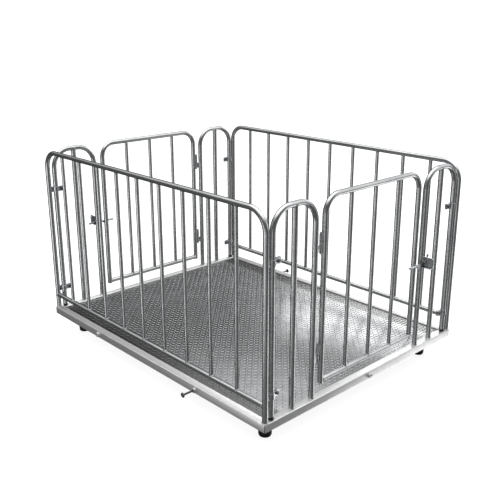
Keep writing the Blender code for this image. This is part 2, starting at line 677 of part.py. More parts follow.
def clamp_outline(spread):
    # a ring round a tube that lies "spread" from a post at the origin, with a short tab up to the
    # post and two lips on the far side
    inner = TUBE_RADIUS + GAP
    outer = inner + CLAMP_THICKNESS
    slot = CLAMP_SLOT / 2
    lip = slot + CLAMP_THICKNESS
    end = spread + outer + CLAMP_LIP
    tab = CLAMP_TAB / 2
    in_angle = math.degrees(math.asin(slot / inner))
    out_angle = math.degrees(math.asin(lip / outer))
    tab_angle = 180 - math.degrees(math.asin(tab / outer))
    points = [(end, lip)]
    points += arc((spread, 0), outer, out_angle, tab_angle, 3 * CORNER_STEPS)
    points += [(inner, tab), (inner, -tab)]
    points += arc((spread, 0), outer, -tab_angle, -out_angle, 3 * CORNER_STEPS)
    points += [(end, -lip), (end, -slot)]
    points += arc((spread, 0), inner, -in_angle, in_angle - 360, 6 * CORNER_STEPS)
    points.append((end, slot))
    return points


def make_clamps():
    # a strap and its bolt at two heights of each corner, round the arch's leg and up to the
    # panel's post
    outer = TUBE_RADIUS + GAP + CLAMP_THICKNESS
    lip = CLAMP_SLOT / 2 + CLAMP_THICKNESS
    sunk = lip - CLAMP_THICKNESS / 2
    head = lip + CLAMP_HEAD_HEIGHT
    shank = CLAMP_BOLT_RADIUS
    profile = [(0, head), (CLAMP_HEAD_RADIUS, head), (CLAMP_HEAD_RADIUS, sunk), (shank, sunk),
               (shank, -sunk), (CLAMP_HEAD_RADIUS, -sunk), (CLAMP_HEAD_RADIUS, -head), (0, -head)]
    across_lips = Matrix.Rotation(math.pi / 2, 4, "X")
    for name, side_x, side_y in CORNERS:
        post = Vector((side_x * PANEL_X, side_y * PANEL_Y, 0))
        leg = Vector((side_x * END_X, side_y * ARCH_OUT, 0))
        along = leg - post
        spread = along.length
        turn = Matrix.Rotation(math.atan2(along.y, along.x), 4, "Z")
        middle = spread + outer + CLAMP_LIP / 2
        for level, height in zip(("lower", "upper"), CLAMP_HEIGHTS):
            spot = Matrix.Translation((post.x, post.y, FRAME_TOP + height)) @ turn
            strap = flat_plate(f"corner_clamp_{name}_{level}", [clamp_outline(spread)],
                               CLAMP_WIDTH, spot, ZINC)
            strap = as_mesh(strap)
            across = spot @ Matrix.Translation((middle, 0, 0)) @ across_lips
            weld(strap, turned(f"bolt_{name}_{level}", profile, across, BLACK_STEEL, 6))


# Load cells and feet

def cell_x(distance, side_x):
    # a place along the load cell, measured from the foot towards the middle of the platform
    return side_x * (FOOT_X - distance)


def cell_bolt_places(side_x):
    last = CELL_LENGTH - 2 * CELL_END
    return [cell_x(last - CELL_BOLT_PITCH, side_x), cell_x(last, side_x)]


def make_load_cell(name, side_x, side_y):
    # a bending beam: the foot's stud under one end, two bolts up into the frame at the other
    half = CELL_SECTION / 2
    y = side_y * FOOT_Y
    ends = sorted((cell_x(-CELL_END, side_x), cell_x(CELL_LENGTH - CELL_END, side_x)))
    bm = bmesh.new()
    add_box(bm, (ends[0], y - half, CELL_BOTTOM), (ends[1], y + half, CELL_TOP))
    cell = finish_mesh(f"load_cell_{name}", bm, CELL_STEEL, smooth=False)
    foot = cell_x(0, side_x)
    stud = ((foot, y, CELL_BOTTOM - half), (foot, y, CELL_TOP + half))
    boolean(cell, cylinder_cutter(f"cell_{name}_stud", [stud], STUD_RADIUS + HOLE_GAP, ROUND_SIDES))
    # the round pockets in both sides that thin the web where it is measured
    x = cell_x(CELL_LENGTH * CELL_POCKET_PLACE, side_x)
    z = (CELL_TOP + CELL_BOTTOM) / 2
    web = half - CELL_POCKET_DEPTH
    pockets = [((x, y + side * web, z), (x, y + side * 2 * half, z)) for side in (-1, 1)]
    boolean(cell, cylinder_cutter(f"cell_{name}_pockets", pockets, CELL_POCKET_RADIUS))
    top = PLATE_TOP
    sunk = CELL_BOTTOM + CELL_BOLT_RADIUS
    head = CELL_BOTTOM - CELL_BOLT_HEAD_HEIGHT
    profile = [(0, top), (CELL_BOLT_RADIUS, top), (CELL_BOLT_RADIUS, sunk),
               (CELL_BOLT_HEAD_RADIUS, sunk), (CELL_BOLT_HEAD_RADIUS, head), (0, head)]
    for i, x in enumerate(cell_bolt_places(side_x)):
        spot = Matrix.Translation((x, y, 0))
        weld(cell, turned(f"cell_bolt_{name}_{i}", profile, spot, ZINC, SMALL_SIDES))


def make_cell_mount(name, side_x, side_y):
    # a plate under the frame's corner, with a thicker pad where the cell is bolted up to it
    half = CELL_SECTION / 2
    y = side_y * FOOT_Y
    xs = sorted((side_x * (HALF_LENGTH - PLATE_MARGIN),
                 cell_x(CELL_LENGTH - CELL_END + PLATE_PAST_CELL, side_x)))
    ys = sorted((side_y * (HALF_WIDTH - PLATE_MARGIN), side_y * (FOOT_Y - CELL_SECTION)))
    bm = bmesh.new()
    add_box(bm, (xs[0], ys[0], PLATE_TOP - PLATE_THICKNESS), (xs[1], ys[1], PLATE_TOP))
    mount = finish_mesh(f"cell_mount_{name}", bm, FRAME_STEEL, smooth=False)
    xs = sorted((cell_x(CELL_LENGTH - 3 * CELL_END - CELL_BOLT_PITCH, side_x),
                 cell_x(CELL_LENGTH - CELL_END, side_x)))
    bm = bmesh.new()
    add_box(bm, (xs[0], y - half, CELL_TOP + GAP), (xs[1], y + half, PLATE_TOP - GAP))
    weld(mount, finish_mesh(f"cell_mount_{name}_pad", bm, FRAME_STEEL, smooth=False))
    rods = [((x, y, CELL_TOP - half), (x, y, FRAME_TOP)) for x in cell_bolt_places(side_x)]
    hole = CELL_BOLT_RADIUS + HOLE_GAP
    boolean(mount, cylinder_cutter(f"cell_mount_{name}_holes", rods, hole, SMALL_SIDES))


def make_foot(name, side_x, side_y):
    # levelling foot: a rubber cup on the collar of a threaded stud, with a locknut on it
    foot = (side_x * FOOT_X, side_y * FOOT_Y, 0)
    rise = FOOT_PAD_HEIGHT
    socket = STUD_COLLAR_RADIUS + HOLE_GAP
    seat = rise - STUD_COLLAR_HEIGHT / 2
    edge = FOOT_RADIUS - FOOT_BASE_RADIUS
    profile = [(0, seat - GAP), (socket, seat - GAP), (socket, rise),
               (FOOT_RADIUS - edge / 3, rise), (FOOT_RADIUS, rise - edge / 3),
               (FOOT_RADIUS, FOOT_EDGE_HEIGHT)]
    for step in range(CORNER_STEPS):
        angle = math.pi / 2 * (step + 1) / CORNER_STEPS
        profile.append((FOOT_BASE_RADIUS + edge * math.cos(angle),
                        FOOT_EDGE_HEIGHT * (1 - math.sin(angle))))
    profile.append((0, 0))
    pad = turned(f"foot_pad_{name}", profile, Matrix.Translation(foot), BLACK_RUBBER, COPE_SIDES)
    collar = seat + STUD_COLLAR_HEIGHT
    profile = [(0, CELL_TOP), (STUD_RADIUS, CELL_TOP), (STUD_RADIUS, collar),
               (STUD_COLLAR_RADIUS, collar), (STUD_COLLAR_RADIUS, seat), (0, seat)]
    stud = as_mesh(turned(f"foot_stud_{name}", profile, Matrix.Translation(foot), ZINC))
    nut_top = CELL_BOTTOM - GAP
    nut = arc((0, 0), LOCKNUT_RADIUS, 0, 300, 5)
    spot = Matrix.Translation((foot[0], foot[1], nut_top - LOCKNUT_HEIGHT / 2))
    weld(stud, flat_plate(f"locknut_{name}", [nut], LOCKNUT_HEIGHT, spot, ZINC))
    hang_on(axis_empty(f"foot_{name}_axis", foot), pad, stud)


# Junction box and leads

def box_screw_places():
    inset = BOX_WALL + BOX_POST_RADIUS
    return [(x * (BOX_LENGTH / 2 - inset), y * (BOX_WIDTH / 2 - inset))
            for x in (-1, 1) for y in (-1, 1)]


def gland_places():
    # four lead glands on the box's long sides and a spare one at its end, for the display's cable
    z = BOX_TOP - BOX_HEIGHT * GLAND_DROP
    places = [((side_x * LEAD_X, side_y * BOX_WIDTH / 2, z), (0, side_y, 0))
              for _, side_x, side_y in CORNERS]
    places.append(((BOX_LENGTH / 2, 0, z), (1, 0, 0)))
    return places


def make_junction_box():
    # open side down, closed by a lid, with a post for a screw in each corner and five glands
    x, y = BOX_LENGTH / 2, BOX_WIDTH / 2
    low = BOX_TOP - BOX_HEIGHT
    wall = BOX_WALL
    bm = bmesh.new()
    add_box(bm, (-x, -y, low), (x, y, BOX_TOP))
    box = finish_mesh("junction_box", bm, GREY_PLASTIC, smooth=False)
    bm = bmesh.new()
    add_box(bm, (wall - x, wall - y, low - wall), (x - wall, y - wall, BOX_TOP - wall))
    boolean(box, as_cutter(finish_mesh("box_room", bm, None, CUTTERS)))
    posts = [((px, py, low), (px, py, BOX_TOP - wall / 2)) for px, py in box_screw_places()]
    boolean(box, cylinder_cutter("box_posts", posts, BOX_POST_RADIUS, SMALL_SIDES), "UNION")
    depth = BOX_HEIGHT / 2
    holes = [((px, py, low - wall), (px, py, low + depth)) for px, py in box_screw_places()]
    hole = BOX_SCREW_RADIUS + HOLE_GAP
    boolean(box, cylinder_cutter("box_screw_holes", holes, hole, SMALL_SIDES))
    add_glands(box)

    lid_top = low - GAP
    lid_low = lid_top - LID_THICKNESS
    bm = bmesh.new()
    add_box(bm, (-x, -y, lid_low), (x, y, lid_top))
    lid = finish_mesh("junction_box_lid", bm, GREY_PLASTIC, smooth=False)
    reach = low + depth - GAP
    profile = [(0, reach), (BOX_SCREW_RADIUS, reach), (BOX_SCREW_RADIUS, lid_top - GAP),
               (BOX_SCREW_HEAD_RADIUS, lid_top - GAP),
               (BOX_SCREW_HEAD_RADIUS, lid_low - BOX_SCREW_HEAD_HEIGHT),
               (0, lid_low - BOX_SCREW_HEAD_HEIGHT)]
    for i, (px, py) in enumerate(box_screw_places()):
        spot = Matrix.Translation((px, py, 0))
        weld(lid, turned(f"box_screw_{i}", profile, spot, ZINC, SMALL_SIDES))

    # the summing board rests on the box's ceiling, between the posts
    clear = wall + 2 * BOX_POST_RADIUS + GAP
    bm = bmesh.new()
    top = BOX_TOP - wall - GAP
    add_box(bm, (clear - x, clear - y, top - BOARD_THICKNESS), (x - clear, y - clear, top))
    finish_mesh("junction_board", bm, GREEN_BOARD, smooth=False)


def add_glands(box):
    length = GLAND_LENGTH
    neck = GLAND_TAPER * GLAND_RADIUS
    sunk = -BOX_WALL / 2
    bore = LEAD_RADIUS + HOLE_GAP
    depth = length / 2
    profile = [(0, depth), (bore, depth), (bore, length), (neck, length),
               (GLAND_RADIUS, length * GLAND_TAPER), (GLAND_RADIUS, sunk), (0, sunk)]
    for i, (spot, way) in enumerate(gland_places()):
        turn = Vector((0, 0, 1)).rotation_difference(Vector(way)).to_matrix().to_4x4()
        weld(box, turned(f"gland_{i}", profile, Matrix.Translation(spot) @ turn, BLACK_PLASTIC))


def lead_route(side_x, side_y):
    # from a load cell's end to the clip under the outer beam, past the middle beam, into the box
    gland_y = BOX_WIDTH / 2 + GLAND_LENGTH / 2 + GAP
    gland_z = gland_places()[0][0][2]
    cell_end = FOOT_X - CELL_LENGTH + CELL_END - GAP
    cell_z = (CELL_TOP + CELL_BOTTOM) / 2
    knots = [
        (cell_end, FOOT_Y, cell_z),
        (cell_end - 0.012, FOOT_Y, cell_z),
        (cell_end - 0.045, FOOT_Y - 0.010, cell_z + 0.004),
        (BEAM_SPACING + 0.080, CLIP_Y + 0.022, LEAD_Z - 0.010),
        (BEAM_SPACING + 0.040, CLIP_Y + 0.003, LEAD_Z - 0.001),
        (BEAM_SPACING + 0.012, CLIP_Y, LEAD_Z),
        (BEAM_SPACING - 0.012, CLIP_Y, LEAD_Z),
        (BEAM_SPACING - 0.040, CLIP_Y - 0.003, LEAD_Z - 0.001),
        (BEAM_SPACING - 0.100, CLIP_Y - 0.035, LEAD_Z - 0.005),
        (0.200, 0.335, LEAD_Z - 0.007),
        (0.095, 0.255, LEAD_Z - 0.004),
        (LEAD_X + 0.004, CLEAT_Y + 0.035, LEAD_Z - 0.001),
        (LEAD_X, CLEAT_Y + 0.012, LEAD_Z),
        (LEAD_X, CLEAT_Y - 0.012, LEAD_Z),
        (LEAD_X, CLEAT_Y - 0.035, LEAD_Z - 0.001),
        (LEAD_X, 0.112, (LEAD_Z + gland_z) / 2),
        (LEAD_X, gland_y + 0.034, gland_z + 0.001),
        (LEAD_X, gland_y + 0.012, gland_z),
        (LEAD_X, gland_y, gland_z),
    ]
    return [Vector((side_x * x, side_y * y, z)) for x, y, z in knots]


def smooth_route(knots, per_knot):
    # points on a smooth curve through the route's own points
    ends = [knots[0] * 2 - knots[1], *knots, knots[-1] * 2 - knots[-2]]
    points = []
    for i in range(1, len(ends) - 2):
        before, start, stop, after = ends[i - 1:i + 3]
        for j in range(per_knot):
            t = j / per_knot
            points.append(0.5 * (2 * start + (stop - before) * t
                                 + (2 * before - 5 * start + 4 * stop - after) * t * t
                                 + (3 * start - before - 3 * stop + after) * t * t * t))
    points.append(knots[-1])
    return points


def make_leads():
    for name, side_x, side_y in CORNERS:
        points = smooth_route(lead_route(side_x, side_y), 2)
        tube(f"load_cell_lead_{name}", points, LEAD_RADIUS, BLACK_RUBBER, 2)


def build():
    make_frame()
    make_deck()
    make_beams()
    make_side_screws()
    make_panel("front_panel", RIGHT)
    make_panel("rear_panel", LEFT)
    for end, place in ENDS:
        hinge_arch = make_arch(f"arch_{end}_hinge_side", -1, place)
        add_hinge_pins(hinge_arch, end, place)
        smooth(hinge_arch)
        latch_arch = make_arch(f"arch_{end}_latch_side", 1, place)
        add_bolt_guide(latch_arch, end, place)
        smooth(latch_arch)
        make_gate(end, place)
        make_latch_bolt(end, place)
    make_plugs()
    make_clamps()
    for name, side_x, side_y in CORNERS:
        make_load_cell(name, side_x, side_y)
        make_cell_mount(name, side_x, side_y)
        make_foot(name, side_x, side_y)
    make_junction_box()
    make_leads()


build()
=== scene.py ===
import math

import bmesh
import bpy
from mathutils import Matrix, Vector


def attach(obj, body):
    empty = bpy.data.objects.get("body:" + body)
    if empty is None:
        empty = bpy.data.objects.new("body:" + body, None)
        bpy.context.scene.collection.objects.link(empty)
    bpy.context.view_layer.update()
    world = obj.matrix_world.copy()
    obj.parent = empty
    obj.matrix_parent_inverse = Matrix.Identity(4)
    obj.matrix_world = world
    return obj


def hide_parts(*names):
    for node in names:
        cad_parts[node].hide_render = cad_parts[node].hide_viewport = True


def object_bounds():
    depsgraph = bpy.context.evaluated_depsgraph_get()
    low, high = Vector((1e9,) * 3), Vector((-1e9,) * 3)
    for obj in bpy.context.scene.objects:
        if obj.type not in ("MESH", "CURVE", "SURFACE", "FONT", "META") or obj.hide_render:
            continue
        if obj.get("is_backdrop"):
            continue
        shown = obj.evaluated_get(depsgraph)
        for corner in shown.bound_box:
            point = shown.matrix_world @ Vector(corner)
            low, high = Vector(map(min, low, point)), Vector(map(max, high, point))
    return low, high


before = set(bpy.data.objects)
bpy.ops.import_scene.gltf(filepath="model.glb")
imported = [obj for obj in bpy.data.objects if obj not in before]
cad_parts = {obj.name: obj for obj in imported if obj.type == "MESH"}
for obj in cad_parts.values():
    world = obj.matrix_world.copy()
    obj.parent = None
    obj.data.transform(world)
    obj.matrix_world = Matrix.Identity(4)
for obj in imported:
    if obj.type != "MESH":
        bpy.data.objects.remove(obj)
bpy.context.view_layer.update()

scene = bpy.context.scene
scene.view_settings.view_transform = "Standard"


# Camera, from the lines of the platform and the pen in the photograph

view = {"place": (2.3384, -2.1585, 1.5156), "tilt": 72.597, "heading": 46.752, "lens": 51.438,
        "shift": (-0.0030, -0.0205)}

cameraData = bpy.data.cameras.new("photoCamera")
cameraData.lens = view["lens"]
cameraData.sensor_width = 36.0
cameraData.shift_x, cameraData.shift_y = view["shift"]
camera = bpy.data.objects.new("photoCamera", cameraData)
camera.location = view["place"]
camera.rotation_euler = (math.radians(view["tilt"]), 0.0, math.radians(view["heading"]))
scene.collection.objects.link(camera)
scene.camera = camera


# Nodes and colours

def toLinear(code):
    # an sRGB hex colour as the linear one a shader wants
    steps = [int(code[i:i + 2], 16) / 255 for i in (1, 3, 5)]
    return (*[s / 12.92 if s <= 0.04045 else ((s + 0.055) / 1.055) ** 2.4 for s in steps], 1.0)


def addNode(tree, kind, settings=None, links=None):
    # a node with its settings and what feeds it; a number or a socket's own name sets a socket
    node = tree.nodes.new(kind)
    for key, value in (settings or {}).items():
        if isinstance(key, int) or key in node.inputs:
            node.inputs[key].default_value = value
        else:
            setattr(node, key, value)
    for key, source in (links or {}).items():
        tree.links.new(source, node.inputs[key])
    return node


def startMaterial(name, colour, metallic, roughness):
    material = bpy.data.materials.new(name)
    material.use_nodes = True
    shader = material.node_tree.nodes["Principled BSDF"]
    shader.inputs["Base Color"].default_value = toLinear(colour)
    shader.inputs["Metallic"].default_value = metallic
    shader.inputs["Roughness"].default_value = roughness
    return material, material.node_tree, shader


def applyFinish(tree, shader, finish, share, grain, depth):
    # share runs from the finish's dark, rough end to its light, smooth one
    tint = addNode(tree, "ShaderNodeMix",
                   {"data_type": "RGBA", 6: toLinear(finish["dark"]), 7: toLinear(finish["light"])},
                   {0: share}).outputs[2]
    rough = addNode(tree, "ShaderNodeMapRange", {3: finish["rough"][1], 4: finish["rough"][0]},
                    {0: share}).outputs[0]
    bump = addNode(tree, "ShaderNodeBump",
                   {"Strength": finish["bump"], "Distance": finish["grain"] * depth},
                   {"Height": grain}).outputs["Normal"]
    for socket, source in (("Base Color", tint), ("Roughness", rough), ("Normal", bump)):
        tree.links.new(source, shader.inputs[socket])


def galvanised(name, finish):
    # zinc from a hot bath: pale crystals of slightly different grey, cloudy patches, a faint grain
    material, tree, shader = startMaterial(name, finish["light"], finish["metallic"],
                                           finish["rough"][0])
    shader.inputs["Specular Tint"].default_value = toLinear(finish["rim"])
    where = addNode(tree, "ShaderNodeTexCoord").outputs["Object"]
    crystals = addNode(tree, "ShaderNodeTexVoronoi", {"Scale": 1 / finish["crystal"]},
                       {"Vector": where})
    cell = addNode(tree, "ShaderNodeSeparateColor", links={0: crystals.outputs["Color"]}).outputs[0]
    clouds = addNode(tree, "ShaderNodeTexNoise", {"Scale": 1 / finish["cloud"], "Detail": 4.0},
                     {"Vector": where}).outputs["Fac"]
    cloud = addNode(tree, "ShaderNodeMapRange", {1: 0.32, 2: 0.68}, {0: clouds}).outputs[0]
    share = addNode(tree, "ShaderNodeMix", {0: finish["crystalShare"]},
                    {2: cloud, 3: cell}).outputs[0]
    grain = addNode(tree, "ShaderNodeTexNoise", {"Scale": 1 / finish["grain"], "Detail": 3.0},
                    {"Vector": where}).outputs["Fac"]
    applyFinish(tree, shader, finish, share, grain, 0.15)
    return material


def paintedShadeEdges(material, shadeBand):
    # mixes a painted shade colour into a plate's own along its two long edges
    tree = material.node_tree
    colour = tree.nodes["Principled BSDF"].inputs["Base Color"]
    where = addNode(tree, "ShaderNodeTexCoord").outputs["Object"]
    across = addNode(tree, "ShaderNodeSeparateXYZ", links={0: where}).outputs["Y"]
    offMiddle = addNode(tree, "ShaderNodeMath", {"operation": "ABSOLUTE"}, {0: across}).outputs[0]
    share = addNode(tree, "ShaderNodeMapRange",
                    {"interpolation_type": "SMOOTHSTEP", 1: shadeBand["halfWidth"] - shadeBand["reach"],
                     2: shadeBand["halfWidth"] - shadeBand["full"], 4: shadeBand["share"]},
                    {0: offMiddle}).outputs[0]
    tint = addNode(tree, "ShaderNodeMix", {"data_type": "RGBA", 7: toLinear(shadeBand["tint"])},
                   {0: share, 6: colour.links[0].from_socket}).outputs[2]
    tree.links.new(tint, colour)


def plain(name, look):
    # a finish with a fine grain in its shine and surface
    material, tree, shader = startMaterial(name, look["light"], look["metallic"], look["rough"][0])
    where = addNode(tree, "ShaderNodeTexCoord").outputs["Object"]
    stretched = addNode(tree, "ShaderNodeMapping", {"Scale": look.get("stretch", (1, 1, 1))},
                        {"Vector": where})
    grain = addNode(tree, "ShaderNodeTexNoise", {"Scale": 1 / look["grain"], "Detail": 3.0},
                    {"Vector": stretched.outputs[0]}).outputs["Fac"]
    wide = addNode(tree, "ShaderNodeTexNoise", {"Scale": 1 / (12 * look["grain"]), "Detail": 2.0},
                   {"Vector": where}).outputs["Fac"]
    share = addNode(tree, "ShaderNodeMix", {0: 0.6}, {2: grain, 3: wide}).outputs[0]
    spread = addNode(tree, "ShaderNodeMapRange", {1: 0.35, 2: 0.65}, {0: share}).outputs[0]
    applyFinish(tree, shader, look, spread, grain, 0.20)
    return material


# Lengths in metres. Crystals of a hot-dip coat are 5 to 20 mm across. The real grain of each finish
# is under half a millimetre, too fine to show, so "grain" draws it 1 to 2 mm coarse.
# "rim" is what the metal keeps of the light where it turns away from the eye.

# Hot-dip zinc on round tube: dull silver in soft patches, darker along both sides of the tube.
galvanisedTube = galvanised("hotDipGalvanisedTube", {
    "light": "#cccdce", "dark": "#b0b2b3", "rim": "#8a8a8a", "metallic": 1.0, "rough": (0.22, 0.31),
    "crystal": 0.009, "cloud": 0.110, "crystalShare": 0.35, "grain": 0.0016, "bump": 0.08})
# The same coat on square section, chalky from the weather: nearly white, with blurred reflections.
galvanisedFrame = galvanised("hotDipGalvanisedSection", {
    "light": "#ecedec", "dark": "#dddedd", "rim": "#ffffff", "metallic": 0.68,
    "rough": (0.38, 0.46), "crystal": 0.014, "cloud": 0.160, "crystalShare": 0.40,
    "grain": 0.0020, "bump": 0.15})
# The same coat on rolled plate, worn smooth: darker and shinier, so its lenses catch the light.
galvanisedDeck = galvanised("galvanisedCheckerPlate", {
    "light": "#9a9b9c", "dark": "#848586", "rim": "#ffffff", "metallic": 1.0, "rough": (0.22, 0.29),
    "crystal": 0.012, "cloud": 0.070, "crystalShare": 0.40, "grain": 0.0015, "bump": 0.20})
# Painted shade: the plate is darkened along its two long edges, under the long panels, where their
# shade falls.
paintedShadeEdges(galvanisedDeck, {"halfWidth": 0.563, "full": 0.060, "reach": 0.090, "share": 0.72,
                             "tint": "#424241"})
# Weld under the zinc: the same coat, thicker, paler and rougher.
galvanisedWeld = galvanised("hotDipGalvanisedWeld", {
    "light": "#e4e5e5", "dark": "#b4b6b6", "rim": "#ffffff", "metallic": 0.45,
    "rough": (0.38, 0.52), "crystal": 0.003, "cloud": 0.012, "crystalShare": 0.50,
    "grain": 0.0012, "bump": 0.60})
# Electroplated zinc: thin, even and brighter than the hot-dip coat, a little bluish.
zincPlated = plain("zincPlatedSteel", {
    "light": "#cfd2d3", "dark": "#a9adaf", "metallic": 1.0, "rough": (0.24, 0.36),
    "grain": 0.0009, "bump": 0.15})
# Nickel over milled alloy steel: a warm grey with cutter lines along the cell.
nickelPlated = plain("nickelPlatedMilledSteel", {
    "light": "#cdc9c0", "dark": "#aeaaa2", "metallic": 1.0, "rough": (0.20, 0.32),
    "grain": 0.0012, "stretch": (0.06, 1, 1), "bump": 0.25})
# Zinc of fasteners that has stood outdoors: dull and dark grey. It also gives the painted shade
# inside the frame's mitre joints.
weatheredZincAndJointShade = plain("weatheredZincSteelAndJointShade", {
    "light": "#85878a", "dark": "#55575a", "metallic": 1.0, "rough": (0.34, 0.48),
    "grain": 0.0008, "bump": 0.25})
# Moulded rubber: matt black with a trace of dust.
footRubber = plain("mouldedBlackRubber", {
    "light": "#141413", "dark": "#080808", "metallic": 0.0, "rough": (0.60, 0.80),
    "grain": 0.0010, "bump": 0.35})
# Moulded polyethylene plug: black with a soft shine.
plugPlastic = plain("mouldedBlackPolyethylene", {
    "light": "#181818", "dark": "#0e0e0e", "metallic": 0.0, "rough": (0.35, 0.48),
    "grain": 0.0008, "bump": 0.15})
# Nylon of the cable glands: black, slightly glossy.
glandNylon = plain("blackNylon", {
    "light": "#1d1d1e", "dark": "#111112", "metallic": 0.0, "rough": (0.30, 0.42),
    "grain": 0.0007, "bump": 0.15})
# Textured ABS of the junction box: light grey with a spark-eroded grain.
boxPlastic = plain("texturedGreyAbs", {
    "light": "#b4b6b6", "dark": "#a3a5a6", "metallic": 0.0, "rough": (0.42, 0.55),
    "grain": 0.0009, "bump": 0.40})
# PVC sheath of the leads: dark grey, satin.
leadSheath = plain("leadSheathPvc", {
    "light": "#2b2c2d", "dark": "#1d1e1f", "metallic": 0.0, "rough": (0.38, 0.50),
    "grain": 0.0010, "bump": 0.20})
# Silicone that seals the strain gauges: soft, off-white.
gaugeSealant = plain("gaugeSealantSilicone", {
    "light": "#d8d5cc", "dark": "#c2bfb6", "metallic": 0.0, "rough": (0.38, 0.55),
    "grain": 0.0015, "bump": 0.30})
# Solder mask over the board: green, glossy.
solderMask = plain("greenSolderMask", {
    "light": "#1f6b3c", "dark": "#154f2b", "metallic": 0.0, "rough": (0.22, 0.32),
    "grain": 0.0015, "bump": 0.10})
print("materials made")


# Mesh helpers

touchGap = 0.0003      # between pieces that touch, as in the CAD


def join(whole, part, place=None, finish=0):
    # adds a small shape to a piece, in its place and with one of the piece's finishes
    if place:
        part.transform(place)
    for face in part.faces:
        face.material_index = finish
        face.smooth = True
    mesh = bpy.data.meshes.new("shape")
    part.to_mesh(mesh)
    part.free()
    whole.from_mesh(mesh)
    bpy.data.meshes.remove(mesh)


def makePiece(name, whole, finishes, body, stoodFor=(), sharp=38):
    mesh = bpy.data.meshes.new(name)
    whole.to_mesh(mesh)
    whole.free()
    mesh.set_sharp_from_angle(angle=math.radians(sharp))
    for material in finishes:
        mesh.materials.append(material)
    piece = bpy.data.objects.new(name, mesh)
    scene.collection.objects.link(piece)
    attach(piece, body)
    if stoodFor:
        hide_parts(*stoodFor)
    return piece


def closeUp(part):
    bmesh.ops.remove_doubles(part, verts=part.verts, dist=0.000002)
    bmesh.ops.recalc_face_normals(part, faces=part.faces)
    return part


def at(x, y, z):
    return Matrix.Translation((x, y, z))


def toward(point, along):
    # the place of a shape made along Z, moved to a point and turned to face along a direction
    turn = Vector((0, 0, 1)).rotation_difference(Vector(along)).to_matrix().to_4x4()
    return Matrix.Translation(point) @ turn


def softEdges(part, edges, offset, segments=2):
    bmesh.ops.bevel(part, geom=edges, offset=offset, offset_type="OFFSET", affect="EDGES",
                    segments=segments, profile=0.5, material=-1, clamp_overlap=True)
    return part


def sharpBlock(low, high):
    low, high = Vector(low), Vector(high)
    part = bmesh.new()
    bmesh.ops.create_cube(part, size=1.0)
    bmesh.ops.scale(part, verts=part.verts, vec=high - low)
    bmesh.ops.translate(part, verts=part.verts, vec=(low + high) / 2)
    return part


def block(low, high, edge):
    part = sharpBlock(low, high)
    return softEdges(part, part.edges[:], edge)


def rod(start, end, radius, sides=24, edge=0.0):
    start, end = Vector(start), Vector(end)
    along = end - start
    part = bmesh.new()
    bmesh.ops.create_cone(part, cap_ends=True, segments=sides, radius1=radius, radius2=radius,
                          depth=along.length)
    if edge:
        rims = [e for e in part.edges if any(len(f.verts) > 4 for f in e.link_faces)]
        softEdges(part, rims, edge)
    part.transform(toward((start + end) / 2, along))
    return part


def turnedShape(profile, steps=32):
    # (radius, height) pairs down the outer side, from the axis to the axis, spun about Z
    part = bmesh.new()
    spots = [part.verts.new((radius, 0, height)) for radius, height in profile]
    lines = [part.edges.new(pair) for pair in zip(spots, spots[1:])]
    bmesh.ops.spin(part, geom=spots + lines, cent=(0, 0, 0), axis=(0, 0, 1),
                   angle=2 * math.pi, steps=steps, use_merge=True, use_duplicate=False)
    return closeUp(part)


def threadProfile(radius, low, high, pitch):
    # the ridges of a thread, seen from the side, downwards
    turns = max(2, round((high - low) / pitch))
    step = (high - low) / turns
    spots = []
    for i in range(turns):
        spots += [(radius, high - i * step), (radius - 0.55 * pitch, high - (i + 0.5) * step)]
    return spots + [(radius, low)]


def hexShape(radius, low, high, edge):
    # a hexagon along Z with its rims eased as on a bolt's head
    part = bmesh.new()
    bmesh.ops.create_cone(part, cap_ends=True, segments=6, radius1=radius, radius2=radius,
                          depth=high - low)
    bmesh.ops.translate(part, verts=part.verts, vec=(0, 0, (low + high) / 2))
    return softEdges(part, part.edges[:], edge, 2)


def madeVerts(made):
    return [g for g in made if isinstance(g, bmesh.types.BMVert)]


def madeEdges(made):
    return [g for g in made if isinstance(g, bmesh.types.BMEdge)]


def uprightEdges(part):
    return [e for e in part.edges if abs(e.verts[0].co.z - e.verts[1].co.z) > 0.001]


def straightOn(part, ring, move):
    made = bmesh.ops.extrude_edge_only(part, edges=ring)["geom"]
    bmesh.ops.translate(part, verts=madeVerts(made), vec=move)
    return [e for e in madeEdges(made) if e.is_boundary]


def bendOn(part, ring, centre, angle, steps):
    spots = list({v for e in ring for v in e.verts})
    made = bmesh.ops.spin(part, geom=spots + ring, cent=centre, axis=(0, 1, 0),
                          angle=math.radians(angle), steps=steps, use_merge=False,
                          use_duplicate=False)["geom_last"]
    return madeEdges(made)


tubeMesh = {"sides": 28, "bendSteps": 14, "wall": 0.0016, "openDepth": 0.030}


def bentHoop(hoop, radius, openFeet=False):
    # an upside-down U of round tube in the XZ plane, from the left foot to the right one
    left, right, top, bend = hoop["left"], hoop["right"], hoop["top"], hoop["bend"]
    part = bmesh.new()
    bmesh.ops.create_circle(part, cap_ends=False, segments=tubeMesh["sides"], radius=radius,
                            matrix=at(left, 0, hoop["feet"][0]))
    first = part.edges[:]
    ring = straightOn(part, first, (0, 0, top - bend - hoop["feet"][0]))
    ring = bendOn(part, ring, (left + bend, 0, top - bend), 90, tubeMesh["bendSteps"])
    ring = straightOn(part, ring, (right - left - 2 * bend, 0, 0))
    ring = bendOn(part, ring, (right - bend, 0, top - bend), 90, tubeMesh["bendSteps"])
    ring = straightOn(part, ring, (0, 0, hoop["feet"][1] - top + bend))
    feet = [bmesh.ops.contextual_create(part, geom=loop)["faces"][0] for loop in (first, ring)]
    closeUp(part)
    if openFeet:
        bmesh.ops.inset_individual(part, faces=feet, thickness=tubeMesh["wall"])
        inner = bmesh.ops.extrude_discrete_faces(part, faces=feet)["faces"]
        bmesh.ops.translate(part, verts=list({v for f in inner for v in f.verts}),
                            vec=(0, 0, tubeMesh["openDepth"]))
    return part


